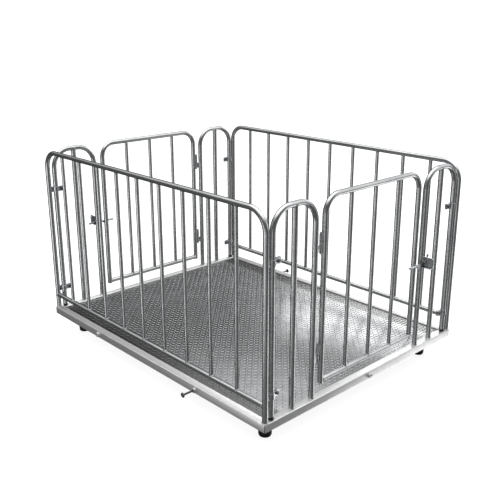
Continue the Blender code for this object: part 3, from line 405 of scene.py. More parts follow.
def weldRing(around, saddle=0.0, bead=0.0022, steps=24, lumps=7):
    # a bead of weld round a bar that stands along Z on a tube along X, or on a flat face
    part = bmesh.new()
    start = at(around, 0, 0) @ Matrix.Rotation(math.pi / 2, 4, "X")
    bmesh.ops.create_circle(part, cap_ends=False, segments=6, radius=bead, matrix=start)
    bmesh.ops.spin(part, geom=part.verts[:] + part.edges[:], cent=(0, 0, 0), axis=(0, 0, 1),
                   angle=2 * math.pi, steps=steps, use_merge=True, use_duplicate=False)
    for vert in part.verts:
        angle = math.atan2(vert.co.y, vert.co.x)
        out = math.hypot(vert.co.x, vert.co.y)
        swell = 1 + 0.20 * math.sin(lumps * angle) + 0.10 * math.sin((2 * lumps + 3) * angle + 1)
        grown = around + (out - around) * swell
        vert.co.x *= grown / out
        vert.co.y *= grown / out
        vert.co.z *= swell
        if saddle:
            vert.co.z += math.sqrt(max(saddle ** 2 - vert.co.y ** 2, 0.0))
    return closeUp(part)


def weldLine(start, end, bead=0.0020):
    # a short straight bead with rounded ends
    start, end = Vector(start), Vector(end)
    along = end - start
    count = max(4, round(along.length / 0.004))
    profile = [(0, along.length)]
    for i in range(count):
        height = along.length * (1 - (i + 0.5) / count)
        profile.append((bead * (1.0 if i % 2 else 0.82), height))
    profile.append((0, 0))
    part = turnedShape(profile, 8)
    part.transform(toward(start, along))
    return part


def holedPlate(halfWide, halfHigh, corner, hole, thickness, offset=(0, 0)):
    # a flat plate in the XY plane with rounded corners and a round hole through it, at the origin
    part = bmesh.new()
    bmesh.ops.create_circle(part, cap_ends=False, segments=40, radius=hole)
    made = bmesh.ops.extrude_edge_only(part, edges=part.edges[:])["geom"]
    for vert in madeVerts(made):
        x, y = vert.co.x, vert.co.y
        reach = min((halfWide + math.copysign(1, x) * offset[0]) / max(abs(x), 1e-9),
                    (halfHigh + math.copysign(1, y) * offset[1]) / max(abs(y), 1e-9))
        x, y = x * reach - offset[0], y * reach - offset[1]
        inX, inY = halfWide - corner, halfHigh - corner
        if abs(x) > inX and abs(y) > inY:
            bow = Vector((abs(x) - inX, abs(y) - inY)).normalized() * corner
            x, y = math.copysign(inX + bow.x, x), math.copysign(inY + bow.y, y)
        vert.co.x, vert.co.y = x + offset[0], y + offset[1]
    slab = bmesh.ops.extrude_face_region(part, geom=part.faces[:])["geom"]
    bmesh.ops.translate(part, verts=madeVerts(slab), vec=(0, 0, thickness))
    bmesh.ops.translate(part, verts=part.verts, vec=(0, 0, -thickness / 2))
    return closeUp(part)


straight = Matrix.Identity(4)
halfTurn = Matrix.Rotation(math.pi, 4, "Z")
quarterTurn = Matrix.Rotation(math.pi / 2, 4, "Z")
outward = Matrix.Rotation(math.pi / 2, 4, "X")     # +Z to -Y
upsideDown = Matrix.Rotation(math.pi, 4, "X")
ends = (("right", straight), ("left", halfTurn))
corners = (("front_right", 1, -1), ("rear_right", 1, 1), ("front_left", -1, -1),
           ("rear_left", -1, 1))


def cornerLabel(name):
    # front_right to frontRight
    first, second = name.split("_")
    return first + second.capitalize()


# Platform frame

platform = {"length": 1.500, "width": 1.200, "top": 0.125, "section": 0.035, "corner": 0.0042,
            "seam": 0.0020, "bossSpacing": 0.710, "bossRadius": 0.0105, "bossLength": 0.010,
            "bossEdge": 0.0008, "bore": 0.0044}
halfLength, halfWidth = platform["length"] / 2, platform["width"] / 2
frameTop, halfRail = platform["top"], platform["section"] / 2


def frameRail(name, halfLong, place, bosses, seams):
    # along X, with mitred ends; bosses are places along it, seams the ends whose joint it fills
    # with a dark block of painted shade
    whole = bmesh.new()
    for side in seams:
        # painted shade: a dark block a little inside the gap between two mitred rails, standing in
        # for the shade of the joint
        reach, tall = halfRail * math.sqrt(2) - 0.0016, halfRail - 0.0008
        thin = platform["seam"] * 0.65
        jointShade = block((-reach, -thin, -tall), (reach, thin, tall), 0.0003)
        spot = at(side * (halfLong - halfRail), 0, 0)
        join(whole, jointShade, spot @ Matrix.Rotation(-side * math.pi / 4, 4, "Z"), 2)
    over = halfLong + 0.005      # the mitre cuts take this off again
    part = sharpBlock((-over, -halfRail, -halfRail), (over, halfRail, halfRail))
    long = [e for e in part.edges if abs(e.verts[0].co.x - e.verts[1].co.x) > 0.1]
    softEdges(part, long, platform["corner"], 5)
    for side in (-1, 1):
        cut = bmesh.ops.bisect_plane(part, geom=part.verts[:] + part.edges[:] + part.faces[:],
                                     plane_co=(side * (halfLong - platform["seam"]), -halfRail, 0),
                                     plane_no=Vector((side, 1, 0)).normalized(), clear_outer=True)
        bmesh.ops.contextual_create(part, geom=madeEdges(cut["geom_cut"]))
    closeUp(part)
    mitres = [f for f in part.faces if abs(f.normal.x) > 0.4 and len(f.verts) > 6]
    softEdges(part, list({e for f in mitres for e in f.edges}), 0.0007)
    join(whole, part)
    bore, length, radius = platform["bore"], platform["bossLength"], platform["bossRadius"]
    edge = platform["bossEdge"]
    for x in bosses:
        boss = turnedShape([(0, 0.0012), (bore, 0.0012), (bore, length - edge),
                            (bore + edge, length), (radius - edge, length), (radius, length - edge),
                            (radius, -0.001), (0, -0.001)], 28)
        spot = at(x, -halfRail, 0) @ outward
        join(whole, boss, spot)
        join(whole, weldRing(radius, bead=0.0018, lumps=6), spot @ at(0, 0, touchGap), 1)
    whole.transform(place)
    makePiece(name + "Rail", whole, [galvanisedFrame, galvanisedWeld, weatheredZincAndJointShade],
              "platform_and_pen", ["frame_rail_" + name])


longSide = at(0, halfRail - halfWidth, frameTop - halfRail)
shortSide = at(0, halfRail - halfLength, frameTop - halfRail)
bossPair = (-platform["bossSpacing"] / 2, platform["bossSpacing"] / 2)
frameRail("front", halfLength, longSide, bossPair, (-1, 1))
frameRail("rear", halfLength, halfTurn @ longSide, bossPair, (-1, 1))
frameRail("right", halfWidth, quarterTurn @ shortSide, (0,), ())
frameRail("left", halfWidth, halfTurn @ quarterTurn @ shortSide, (0,), ())
print("frame rails made")


# Deck plate with its raised lenses

# A real lens is about 1 mm high. It is a little higher and its foot wider here, so that it shows.
deck = {"x": 0.713, "y": 0.563, "top": 0.120, "thickness": 0.004, "edge": 0.0005, "spacing": 0.0175,
        "lensLength": 0.0200, "lensWidth": 0.0068, "lensHeight": 0.0013, "lensFlat": 0.66,
        "lensBed": 0.0002, "margin": 0.006}


def lensRow(columns, leanFirst):
    # raised lenses side by side along X, leaning to one side and the other in turn
    row = bmesh.new()
    tall = deck["lensHeight"] + deck["lensBed"]
    middle = tall / 2 - deck["lensBed"]
    for i in range(-columns, columns + 1):
        lens = bmesh.ops.create_cone(row, cap_ends=True, segments=6, radius1=1.0,
                                     radius2=deck["lensFlat"], depth=tall)["verts"]
        for vert in lens:
            vert.co.y *= 0.5 + 0.5 * abs(vert.co.y)
        lean = math.radians(45 if (i + leanFirst) % 2 else -45)
        bmesh.ops.transform(row, verts=lens, matrix=(
            at(i * deck["spacing"], 0, middle) @ Matrix.Rotation(lean, 4, "Z")
            @ Matrix.Diagonal((deck["lensLength"] / 2, deck["lensWidth"] / 2, 1, 1))))
    return row


plate = bmesh.new()
join(plate, block((-deck["x"], -deck["y"], deck["top"] - deck["thickness"]),
                  (deck["x"], deck["y"], deck["top"]), deck["edge"]))
columns = int((deck["x"] - deck["margin"]) / deck["spacing"])
rows = int((deck["y"] - deck["margin"]) / deck["spacing"])
for j in range(-rows, rows + 1):
    join(plate, lensRow(columns, j), at(0, j * deck["spacing"], deck["top"]))
makePiece("deckPlate", plate, [galvanisedDeck], "platform_and_pen", ["deck_plate"],
          sharp=60)
print("deck plate made")


# Long panels

tubes = {"radius": 0.011, "barRadius": 0.008, "railTop": 0.910, "foot": 0.1253}
panel = {"x": 0.7375, "y": 0.5865, "bend": 0.080, "railZ": 0.192, "bars": 9}
radius, barRadius, railTop = tubes["radius"], tubes["barRadius"], tubes["railTop"]


def weldedUprights(whole, reach, count, low, high):
    # evenly spaced bars between a bottom rail and a top one, both along X, a bead at each end
    step = 2 * reach / (count + 1)
    for number in range(count):
        x = -reach + (number + 1) * step
        join(whole, rod((x, 0, low), (x, 0, high), barRadius))
        join(whole, weldRing(barRadius, radius, lumps=6 + number % 3), at(x, 0, low), 1)
        join(whole, weldRing(barRadius, radius, 0.0019, lumps=7 - number % 3),
             at(x, 0, high) @ upsideDown, 1)


def bottomRail(whole, left, right, z):
    # along X between two uprights of its own thickness, welded to both
    join(whole, rod((left, 0, z), (right, 0, z), radius, tubeMesh["sides"]))
    for x, along in ((left, (1, 0, 0)), (right, (-1, 0, 0))):
        turn = at(x, 0, z) @ Matrix.Rotation(math.pi / 2 * along[0], 4, "Y")
        join(whole, weldRing(radius, radius, lumps=8), turn @ quarterTurn.inverted(), 1)


for side, place in (("front", straight), ("rear", halfTurn)):
    hoop = {"left": -panel["x"], "right": panel["x"], "feet": (tubes["foot"], tubes["foot"]),
            "top": railTop, "bend": panel["bend"]}
    put = place @ at(0, -panel["y"], 0)
    whole = bmesh.new()
    join(whole, bentHoop(hoop, radius))
    for x in (-panel["x"], panel["x"]):
        join(whole, weldRing(radius, lumps=8), at(x, 0, frameTop), 1)
    whole.transform(put)
    makePiece(side + "PanelHoop", whole, [galvanisedTube, galvanisedWeld], "platform_and_pen",
              [side + "_panel_hoop"])
    whole = bmesh.new()
    bottomRail(whole, -panel["x"], panel["x"], panel["railZ"])
    weldedUprights(whole, panel["x"], panel["bars"], panel["railZ"], railTop)
    whole.transform(put)
    makePiece(side + "PanelBars", whole, [galvanisedTube, galvanisedWeld], "platform_and_pen",
              [side + "_panel_bars"])
print("long panels made")


# Narrow arches beside the gates

arch = {"x": 0.7345, "outer": 0.554, "inner": 0.339, "bend": 0.085}
legPlug = {"height": 0.012, "swell": 0.0004, "stem": 0.0022, "stemTop": 0.016}
hinge = {"y": 0.309, "radius": 0.006, "half": 0.042, "taper": 0.007, "pin": 0.0029,
         "pinLength": 0.030, "play": 0.0004, "edge": 0.0008, "heights": (0.307, 0.740),
         "lug": 0.004, "lugHeight": 0.028}
latch = {"x": 0.7515, "z": 0.512, "tip": 0.238, "tail": 0.3775, "radius": 0.005, "handleY": 0.3635,
         "handleHeight": 0.037, "handleRadius": 0.00425, "guide": 0.004, "guideHeight": 0.046,
         "guideRise": 0.008, "guideX": 0.800, "guideCorner": 0.006, "barrel": 0.0095,
         "barrelLength": 0.030, "bore": 0.0054}
acrossEnd = at(arch["x"], 0, 0) @ quarterTurn    # +X to +Y, in the end's plane


def hingeHalf(whole, z, upper, tubeY):
    # a turned barrel with a tapered end, on a small plate welded to a tube
    length, taper, outer, edge = hinge["half"], hinge["taper"], hinge["radius"], hinge["edge"]
    pin, pinTop = hinge["pin"], hinge["pinLength"]
    if upper:
        bore, boreTop = pin + hinge["play"], pinTop + 0.001
        profile = [(0, length), (outer * 0.42, length), (outer * 0.62, length - edge),
                   (outer - 0.0003, length - taper), (outer, length - taper - 0.0012),
                   (outer, edge), (outer - 0.0005, touchGap), (bore, touchGap), (bore, boreTop),
                   (0, boreTop)]
    else:
        profile = [(0, pinTop), (pin * 0.6, pinTop), (pin, pinTop - 0.002), (pin, 0),
                   (outer - 0.0005, 0), (outer, -0.0005), (outer, taper + 0.0012 - length),
                   (outer - 0.0003, taper - length), (outer * 0.62, edge - length),
                   (outer * 0.42, -length), (0, -length)]
    join(whole, turnedShape(profile, 28), at(arch["x"], -hinge["y"], z), 2)
    middle = z + length * (0.45 if upper else -0.5)
    halfHigh, halfThick = hinge["lugHeight"] / 2, hinge["lug"] / 2
    near = -hinge["y"] + math.copysign(outer * 0.8, tubeY + hinge["y"])
    low, high = sorted((near, tubeY))
    join(whole, block((arch["x"] - halfThick, low, middle - halfHigh),
                      (arch["x"] + halfThick, high, middle + halfHigh), 0.0005), None, 2)
    reach = math.copysign(radius - 0.0008, -hinge["y"] - tubeY)
    for face in (-1, 1):
        x, y = arch["x"] + face * halfThick, tubeY + reach
        join(whole, weldLine((x, y, middle - halfHigh), (x, y, middle + halfHigh)), None, 1)
        x = arch["x"] + face * halfThick * 1.1
        y = -hinge["y"] + math.copysign(outer * 0.92, tubeY + hinge["y"])
        bead = weldLine((x, y, middle - halfHigh * 0.9), (x, y, middle + halfHigh * 0.9), 0.0012)
        join(whole, bead, None, 1)


def narrowArch(side):
    # side -1 stands beside the gate's hinges, 1 beside its latch
    low, high = sorted((side * arch["outer"], side * arch["inner"]))
    lifted = frameTop + legPlug["height"] + touchGap
    feet = (lifted, tubes["foot"]) if side < 0 else (tubes["foot"], lifted)
    whole = bmesh.new()
    hoop = {"left": low, "right": high, "feet": feet, "top": railTop, "bend": arch["bend"]}
    join(whole, bentHoop(hoop, radius), acrossEnd)
    middle = (low + high) / 2
    join(whole, rod((middle, 0, tubes["foot"]), (middle, 0, railTop), radius, tubeMesh["sides"]),
         acrossEnd)
    join(whole, weldRing(radius, radius, 0.0019, lumps=8),
         acrossEnd @ at(middle, 0, railTop) @ upsideDown, 1)
    for y in (middle, side * arch["inner"]):
        join(whole, weldRing(radius, lumps=7), acrossEnd @ at(y, 0, frameTop), 1)
    return whole


def boltGuide(whole):
    # a plate with a folded lip, welded to the inner leg, and the barrel that the bolt slides in
    halfWide = (latch["guideX"] - arch["x"]) / 2
    centreX = (latch["guideX"] + arch["x"]) / 2
    y, halfLong = arch["inner"], latch["barrelLength"] / 2
    low = latch["z"] + latch["guideRise"] - latch["guideHeight"] / 2
    high = low + latch["guideHeight"]
    guide = holedPlate(halfWide, latch["guideHeight"] / 2, latch["guideCorner"],
                       latch["bore"] + 0.002, latch["guide"],
                       (centreX - latch["x"], latch["guideRise"]))
    rims = [e for e in guide.edges if e.calc_face_angle(0) > 1.0]
    softEdges(guide, rims, 0.0004, 1)
    middle = at(latch["x"], y, latch["z"]) @ outward
    join(whole, guide, middle, 2)
    lipEnd = latch["guideX"] - latch["guideCorner"]
    join(whole, block((arch["x"] + radius, y - halfLong, low), (lipEnd, y, low + latch["guide"]),
                      0.0008), None, 2)
    bore, outer, inEdge, outEdge = latch["bore"], latch["barrel"], 0.0006, 0.0008
    barrel = turnedShape([
        (bore, inEdge - halfLong), (bore + inEdge, -halfLong), (outer - outEdge, -halfLong),
        (outer, outEdge - halfLong), (outer, halfLong - outEdge), (outer - outEdge, halfLong),
        (bore + inEdge, halfLong), (bore, halfLong - inEdge), (bore, inEdge - halfLong)], 28)
    join(whole, barrel, middle, 3)
    for face in (-1, 1):
        ring = weldRing(outer, bead=0.0012, lumps=6)
        join(whole, ring, middle @ at(0, 0, face * latch["guide"] / 2), 1)
        spot = (arch["x"] + radius + 0.0008, y + face * latch["guide"] / 2)
        join(whole, weldLine((*spot, low + 0.001), (*spot, high - 0.001), 0.0022), None, 1)


for end, place in ends:
    whole = narrowArch(-1)
    for z in hinge["heights"]:
        hingeHalf(whole, z, False, -arch["inner"])
    whole.transform(place)
    makePiece(end + "HingeArch", whole, [galvanisedTube, galvanisedWeld, zincPlated],
              "platform_and_pen", [f"arch_{end}_hinge_side"])
    whole = narrowArch(1)
    boltGuide(whole)
    whole.transform(place)
    makePiece(end + "LatchArch", whole, [galvanisedTube, galvanisedWeld, zincPlated, weatheredZincAndJointShade],
              "platform_and_pen", [f"arch_{end}_latch_side"])

stem, stemTop = radius - legPlug["stem"], legPlug["stemTop"]
head, brim = legPlug["height"], radius + legPlug["swell"]
profile = [(0, stemTop), (stem, stemTop), (stem, head + 0.0002), (stem + 0.0010, head),
           (brim - 0.0003, head - 0.0004), (brim, head - 0.0015), (brim, 0.0030),
           (brim - 0.0010, 0.0012), (brim - 0.0030, touchGap), (0, touchGap)]
for name, sideX, sideY in corners:
    whole = bmesh.new()
    join(whole, turnedShape(profile, 28),
         at(sideX * arch["x"], sideY * arch["outer"], frameTop))
    makePiece(cornerLabel(name) + "LegPlug", whole, [plugPlastic], "platform_and_pen",
              ["arch_leg_plug_" + name])
print("arches made")


# Gates and latch bolts

gate = {"stile": 0.289, "bend": 0.070, "railZ": 0.187, "foot": 0.176, "bars": 3,
        "rest": 0.012, "restTop": 0.5067, "restThickness": 0.004}

for end, place in ends:
    hoop = {"left": -gate["stile"], "right": gate["stile"], "feet": (gate["foot"], gate["foot"]),
            "top": railTop, "bend": gate["bend"]}
    whole = bmesh.new()
    join(whole, bentHoop(hoop, radius, openFeet=True), acrossEnd)
    for z in hinge["heights"]:
        hingeHalf(whole, z, True, -gate["stile"])
    # the small rest that the bolt's tip lies on
    low, high = gate["restTop"] - gate["restThickness"], gate["restTop"]
    face = arch["x"] + radius
    near, far = gate["stile"] - gate["rest"] / 2, gate["stile"] + gate["rest"] / 2
    join(whole, block((face - 0.001, near, low), (face + gate["rest"], far, high), 0.0006), None, 2)
    join(whole, weldLine((face, near, low), (face, far, low), 0.0018), None, 1)
    whole.transform(place)
    makePiece(end + "GateHoop", whole, [galvanisedTube, galvanisedWeld, zincPlated], "gate_" + end,
              [f"gate_{end}_hoop"])
    whole = bmesh.new()
    bottomRail(whole, -gate["stile"], gate["stile"], gate["railZ"])
    weldedUprights(whole, gate["stile"], gate["bars"], gate["railZ"], railTop)
    whole.transform(place @ acrossEnd)
    makePiece(end + "GateBars", whole, [galvanisedTube, galvanisedWeld], "gate_" + end,
              [f"gate_{end}_bars"])

    whole = bmesh.new()
    join(whole, rod((latch["x"], latch["tip"], latch["z"]), (latch["x"], latch["tail"], latch["z"]),
                    latch["radius"], tubeMesh["sides"], 0.0012))
    wide, tall = latch["handleRadius"], latch["handleHeight"]
    handle = turnedShape([(0, tall), (wide * 0.55, tall), (wide * 0.9, tall - 0.0010),
                          (wide, tall - 0.0024), (wide, 0), (0, 0)], 24)
    spot = at(latch["x"], latch["handleY"], latch["z"])
    join(whole, handle, spot)
    join(whole, weldRing(wide, latch["radius"], 0.0010, 20, 5), spot @ quarterTurn, 1)
    whole.transform(place)
    makePiece(end + "LatchBolt", whole, [zincPlated, galvanisedWeld], "latch_bolt_" + end,
              ["latch_bolt_" + end])
print("gates and latches made")


# Corner clamps

clamp = {"heights": (0.223, 0.725), "width": 0.024, "thickness": 0.0025, "lip": 0.030,
         "slot": 0.004, "tab": 0.008, "boltRadius": 0.004, "headRadius": 0.0075,
         "headHeight": 0.0055, "washer": 0.0085, "washerHeight": 0.0009, "pitch": 0.0008}


def strap(spread):
    # a band bent round a tube that lies at "spread" along X, with two lips on its far side
    inner = radius + touchGap
    slot, flare = clamp["slot"] / 2, 0.0008
    angle = math.asin((slot + flare) / inner)
    bend = spread + inner + 0.003
    reach = spread + inner + clamp["thickness"] + clamp["lip"]
    part = bmesh.new()
    line = [part.verts.new((x, y, 0)) for x, y in (
        (reach, slot), (bend, slot), (spread + inner * math.cos(angle), slot + flare))]
    for i in (1, 2):
        part.edges.new(line[i - 1:i + 1])
    made = bmesh.ops.spin(part, geom=line[-1:], cent=(spread, 0, 0), axis=(0, 0, 1),
                          angle=2 * math.pi - 2 * angle, steps=30, use_merge=False,
                          use_duplicate=False)["geom_last"]
    last = madeVerts(made)[0]
    for x in (bend, reach):
        fresh = part.verts.new((x, -slot, 0))
        part.edges.new((last, fresh))
        last = fresh
    wide = bmesh.ops.extrude_edge_only(part, edges=part.edges[:])["geom"]
    bmesh.ops.translate(part, verts=madeVerts(wide), vec=(0, 0, clamp["width"]))
    bmesh.ops.translate(part, verts=part.verts, vec=(0, 0, -clamp["width"] / 2))
    bmesh.ops.recalc_face_normals(part, faces=part.faces)
    middle = Vector((spread, 0, 0))
    outside = sum(1 if f.normal.dot(f.calc_center_median() - middle) > 0 else -1
                  for f in part.faces)
    if outside < 0:
        bmesh.ops.reverse_faces(part, faces=part.faces)
    bmesh.ops.solidify(part, geom=part.faces[:], thickness=-clamp["thickness"])
    closeUp(part)
    rims = [e for e in part.edges if len(e.link_faces) == 2 and e.calc_face_angle(0) > 1.2]
    return softEdges(part, rims, 0.0004, 1)


for name, sideX, sideY in corners:
    post = Vector((sideX * panel["x"], sideY * panel["y"], 0))
    leg = Vector((sideX * arch["x"], sideY * arch["outer"], 0))
    along = leg - post
    turn = Matrix.Rotation(math.atan2(along.y, along.x), 4, "Z")
    for level, z in zip(("lower", "upper"), clamp["heights"]):
        spot = at(post.x, post.y, z) @ turn
        whole = bmesh.new()
        join(whole, strap(along.length), spot)
        tab = clamp["tab"] / 2
        join(whole, block((radius + 0.0004, -tab, -clamp["width"] / 2),
                          (along.length - radius - 0.0012, tab, clamp["width"] / 2), 0.0004), spot)
        lip = clamp["slot"] / 2 + clamp["thickness"]
        middle = along.length + radius + touchGap + clamp["thickness"] + clamp["lip"] / 2
        across = spot @ at(middle, 0, 0) @ outward
        tall, wide, thick = clamp["headHeight"], clamp["washer"], clamp["washerHeight"]
        join(whole, hexShape(clamp["headRadius"], lip + 0.0008, lip + tall, 0.0006), across, 1)
        join(whole, hexShape(clamp["headRadius"], -lip - tall, -lip - 0.0008, 0.0006), across, 1)
        for low in (lip, -lip - thick):
            high = low + thick
            washer = turnedShape([(0, high), (wide - 0.0003, high), (wide, high - 0.0003),
                                  (wide, low), (0, low)], 24)
            join(whole, washer, across, 0)
        end = -lip - tall + 0.0002
        ridges = threadProfile(clamp["boltRadius"], end, lip, clamp["pitch"])
        join(whole, turnedShape([(0, lip)] + ridges + [(0, end)], 20), across, 1)
        makePiece(cornerLabel(name) + level.capitalize() + "Clamp", whole,
                  [zincPlated, weatheredZincAndJointShade], "platform_and_pen",
                  [f"corner_clamp_{name}_{level}"])
print("corner clamps made")


# Long screws in the frame's sides

screw = {"x": 0.355, "radius": 0.0040, "pitch": 0.00125, "outside": 0.048, "inside": 0.0085,
         "head": 0.0105, "headHeight": 0.005}

for side, place in (("front", straight), ("rear", halfTurn)):
    low = platform["bossLength"] - screw["inside"]
    reach = platform["bossLength"] + screw["outside"]
    top = reach + screw["headHeight"]
    profile = [(0, top), (screw["head"] * 0.72, top), (screw["head"] * 0.92, top - 0.0008),
               (screw["head"], top - 0.0020), (screw["head"], reach + 0.0006),
               (screw["head"] - 0.0006, reach), (screw["radius"] * 1.05, reach)]
    profile += threadProfile(screw["radius"], low + 0.001, reach - 0.001, screw["pitch"])
    profile += [(screw["radius"] * 0.7, low), (0, low)]
    spot = at(screw["x"], -halfWidth, frameTop - halfRail)
    whole = bmesh.new()
    join(whole, turnedShape(profile, 28))
    whole.transform(place @ spot @ outward)
    makePiece(side + "SideScrew", whole, [weatheredZincAndJointShade], "platform_and_pen",
              [side + "_side_screw"])
print("side screws made")


# Load cells, mounting plates and feet

cell = {"x": 0.652, "y": 0.502, "low": 0.0474, "high": 0.0774, "past": 0.015, "length": 0.130,
        "corner": 0.0012, "boltPitch": 0.026, "bolt": 0.005, "head": 0.008, "headHeight": 0.005,
        "washer": 0.0088, "washerHeight": 0.0009, "pocket": 0.010, "pocketAt": 0.0494,
        "seal": 0.0101, "sealFace": 0.0128}
mount = {"top": 0.0897, "thickness": 0.006, "margin": 0.012, "pastCell": 0.014, "corner": 0.006}
foot = {"radius": 0.026, "base": 0.019, "height": 0.031, "edge": 0.010, "groove": 0.0009,
        "stud": 0.006, "pitch": 0.00175, "collar": 0.011, "collarHeight": 0.005, "nut": 0.0105,
        "nutHeight": 0.0065}

for name, sideX, sideY in corners:
    label = cornerLabel(name)
    centre = Vector((sideX * cell["x"], sideY * cell["y"], 0))
    inwards = Matrix.Translation(centre) @ Matrix.Diagonal((-sideX, 1, 1, 1))
    middleZ, halfSection = (cell["low"] + cell["high"]) / 2, (cell["high"] - cell["low"]) / 2

    # local X runs from the foot towards the middle of the platform
    whole = bmesh.new()
    body = holedPlate(cell["length"] / 2, halfSection, cell["corner"], cell["pocket"],
                      2 * halfSection, (cell["length"] / 2 - cell["past"] - cell["pocketAt"], 0))
    softEdges(body, [e for e in body.edges if e.calc_face_angle(0) > 1.3], 0.0007, 1)
    join(whole, body, at(cell["pocketAt"], 0, middleZ) @ outward)
    wide, face = cell["seal"], cell["sealFace"]
    for side in (-1, 1):
        # the sealant's skin, sunk in the middle of each pocket
        seal = turnedShape([(0, face - 0.0010), (wide - 0.0031, face - 0.0008),
                            (wide - 0.0003, face), (wide, face), (wide, 0), (0, 0)], 28)
        join(whole, seal, toward((cell["pocketAt"], 0, middleZ), (0, side, 0)), 1)
    last = cell["length"] - 2 * cell["past"]
    wide, low, high = cell["washer"], cell["low"] - cell["washerHeight"], cell["low"]
    for x in (last - cell["boltPitch"], last):
        spot = at(x, 0, 0)
        join(whole, hexShape(cell["head"], high - cell["headHeight"], low, 0.0006), spot, 2)
        join(whole, turnedShape([(0, high), (wide, high), (wide, low), (0, low)], 24), spot, 2)
        shank = rod((x, 0, cell["high"] - 0.004), (x, 0, mount["top"] - 0.0002), cell["bolt"], 20)
        join(whole, shank, None, 2)
    whole.transform(inwards)
    bmesh.ops.recalc_face_normals(whole, faces=whole.faces)
    makePiece(label + "LoadCell", whole, [nickelPlated, gaugeSealant, zincPlated],
              "platform_and_pen", ["load_cell_" + name])

    whole = bmesh.new()
    outerX = cell["x"] - (halfLength - mount["margin"])
    innerX = cell["length"] - cell["past"] + mount["pastCell"]
    outerY, innerY = sideY * (halfWidth - mount["margin"]), sideY * (cell["y"] - 2 * halfSection)
    lowY, highY = sorted((outerY - centre.y, innerY - centre.y))
    part = sharpBlock((outerX, lowY, mount["top"] - mount["thickness"]),
                      (innerX, highY, mount["top"]))
    softEdges(part, uprightEdges(part), mount["corner"], 4)
    softEdges(part, [e for e in part.edges if e.calc_face_angle(0) > 1.2], 0.0005, 1)
    join(whole, part)
    padX = (last - cell["boltPitch"] - cell["past"], last + cell["past"])
    join(whole, block((padX[0], -halfSection, cell["high"] + touchGap),
                      (padX[1], halfSection, mount["top"] - mount["thickness"] + 0.0005), 0.0005))
    whole.transform(inwards)
    bmesh.ops.recalc_face_normals(whole, faces=whole.faces)
    makePiece(label + "CellMount", whole, [galvanisedFrame], "platform_and_pen",
              ["cell_mount_" + name])

    # rubber pad with a moulded rim and a dished top round the stud's collar
    wide, base, tall, lift = foot["radius"], foot["base"], foot["height"], foot["edge"]
    seat = tall - foot["collarHeight"] / 2
    well, waist = foot["collar"] + 0.0004, wide - foot["groove"]
    profile = [(0, seat - touchGap), (well, seat - touchGap), (well, tall - 0.0006),
               (well + 0.0008, tall), (wide - 0.0036, tall), (wide - 0.0016, tall - 0.0006),
               (wide - 0.0004, tall - 0.0020), (wide, tall - 0.0042), (wide, tall - 0.0095),
               (waist, tall - 0.0102), (waist, tall - 0.0116), (wide, tall - 0.0123), (wide, lift)]
    for degrees in (15, 30, 45, 60, 75, 90):
        angle = math.radians(degrees)
        profile.append((base + (wide - base) * math.cos(angle), lift * (1 - math.sin(angle))))
    profile += [(base - 0.004, 0), (base - 0.005, 0.0012), (0.006, 0.0012), (0.005, 0), (0, 0)]
    whole = bmesh.new()
    join(whole, turnedShape(profile, 40))
    whole.transform(Matrix.Translation(centre))
    makePiece(label + "FootPad", whole, [footRubber], "foot_" + name,
              ["foot_pad_" + name])

    # stud with its thread, collar and locknut
    shank, wide, top = foot["stud"], foot["collar"], cell["high"]
    collar = seat + foot["collarHeight"]
    profile = [(0, top), (shank * 0.75, top), (shank * 0.95, top - 0.0012)]
    profile += threadProfile(shank, collar + 0.001, top - 0.0015, foot["pitch"])
    profile += [(shank * 0.98, collar), (wide - 0.0006, collar), (wide, collar - 0.0006),
                (wide, seat + 0.0004), (wide - 0.0004, seat), (0, seat)]
    whole = bmesh.new()
    join(whole, turnedShape(profile, 28))
    high = cell["low"] - touchGap
    join(whole, hexShape(foot["nut"], high - foot["nutHeight"], high, 0.0007))
    whole.transform(Matrix.Translation(centre))
    makePiece(label + "FootStud", whole, [zincPlated], "foot_" + name,
              ["foot_stud_" + name])
print("load cells and feet made")


# Junction box under the middle beam

box = {"length": 0.130, "width": 0.080, "top": 0.0897, "height": 0.032, "wall": 0.0025,
       "lid": 0.003, "corner": 0.006, "screwInset": 0.007, "screw": 0.0022, "screwHead": 0.0040,
       "screwHeight": 0.0020, "gland": 0.0075, "glandLength": 0.016, "glandNut": 0.0046,
       "glandBore": 0.0029, "leadX": 0.0364}


def roundedTray(low, high, corner):
    part = sharpBlock(low, high)
    return softEdges(part, uprightEdges(part), corner, 5)


# an open shell, its mouth down
boxLow = box["top"] - box["height"]
boxX, boxY = box["length"] / 2, box["width"] / 2
whole = bmesh.new()
shell = roundedTray((-boxX, -boxY, boxLow), (boxX, boxY, box["top"]), box["corner"])
below = [f for f in shell.faces if f.normal.z < -0.9]
above = [e for e in shell.edges if all(v.co.z > box["top"] - 0.0001 for v in e.verts)]
bmesh.ops.inset_individual(shell, faces=below, thickness=box["wall"])
ceiling = bmesh.ops.extrude_discrete_faces(shell, faces=below)["faces"]
bmesh.ops.translate(shell, verts=list({v for f in ceiling for v in f.verts}),
                    vec=(0, 0, box["height"] - 2 * box["wall"]))
softEdges(shell, above, 0.0010, 2)
join(whole, shell)

# four glands for the leads and a spare one
glandZ = box["top"] - box["height"] * 0.55
glands = [((sx * box["leadX"], sy * boxY, glandZ), (0, sy, 0)) for _, sx, sy in corners]
glands.append(((boxX, 0, glandZ), (1, 0, 0)))
wide, long, nut, bore = box["gland"], box["glandLength"], box["glandNut"], box["glandBore"]
for spot, way in glands:
    put = toward(spot, way)
    dome = turnedShape([(0, long / 2), (bore, long / 2), (bore, long), (wide * 0.72, long),
                        (wide * 0.86, long - 0.0012), (wide * 0.97, long - 0.0030),
                        (wide, long * 0.55), (wide, nut + 0.0006), (wide * 0.9, nut + 0.0004),
                        (wide * 0.9, nut - 0.0002), (0, nut - 0.0002)], 24)
    join(whole, dome, put, 1)
    join(whole, hexShape(wide, -0.001, nut, 0.0005), put, 1)
makePiece("junctionBox", whole, [boxPlastic, glandNylon], "platform_and_pen",
          ["junction_box"])

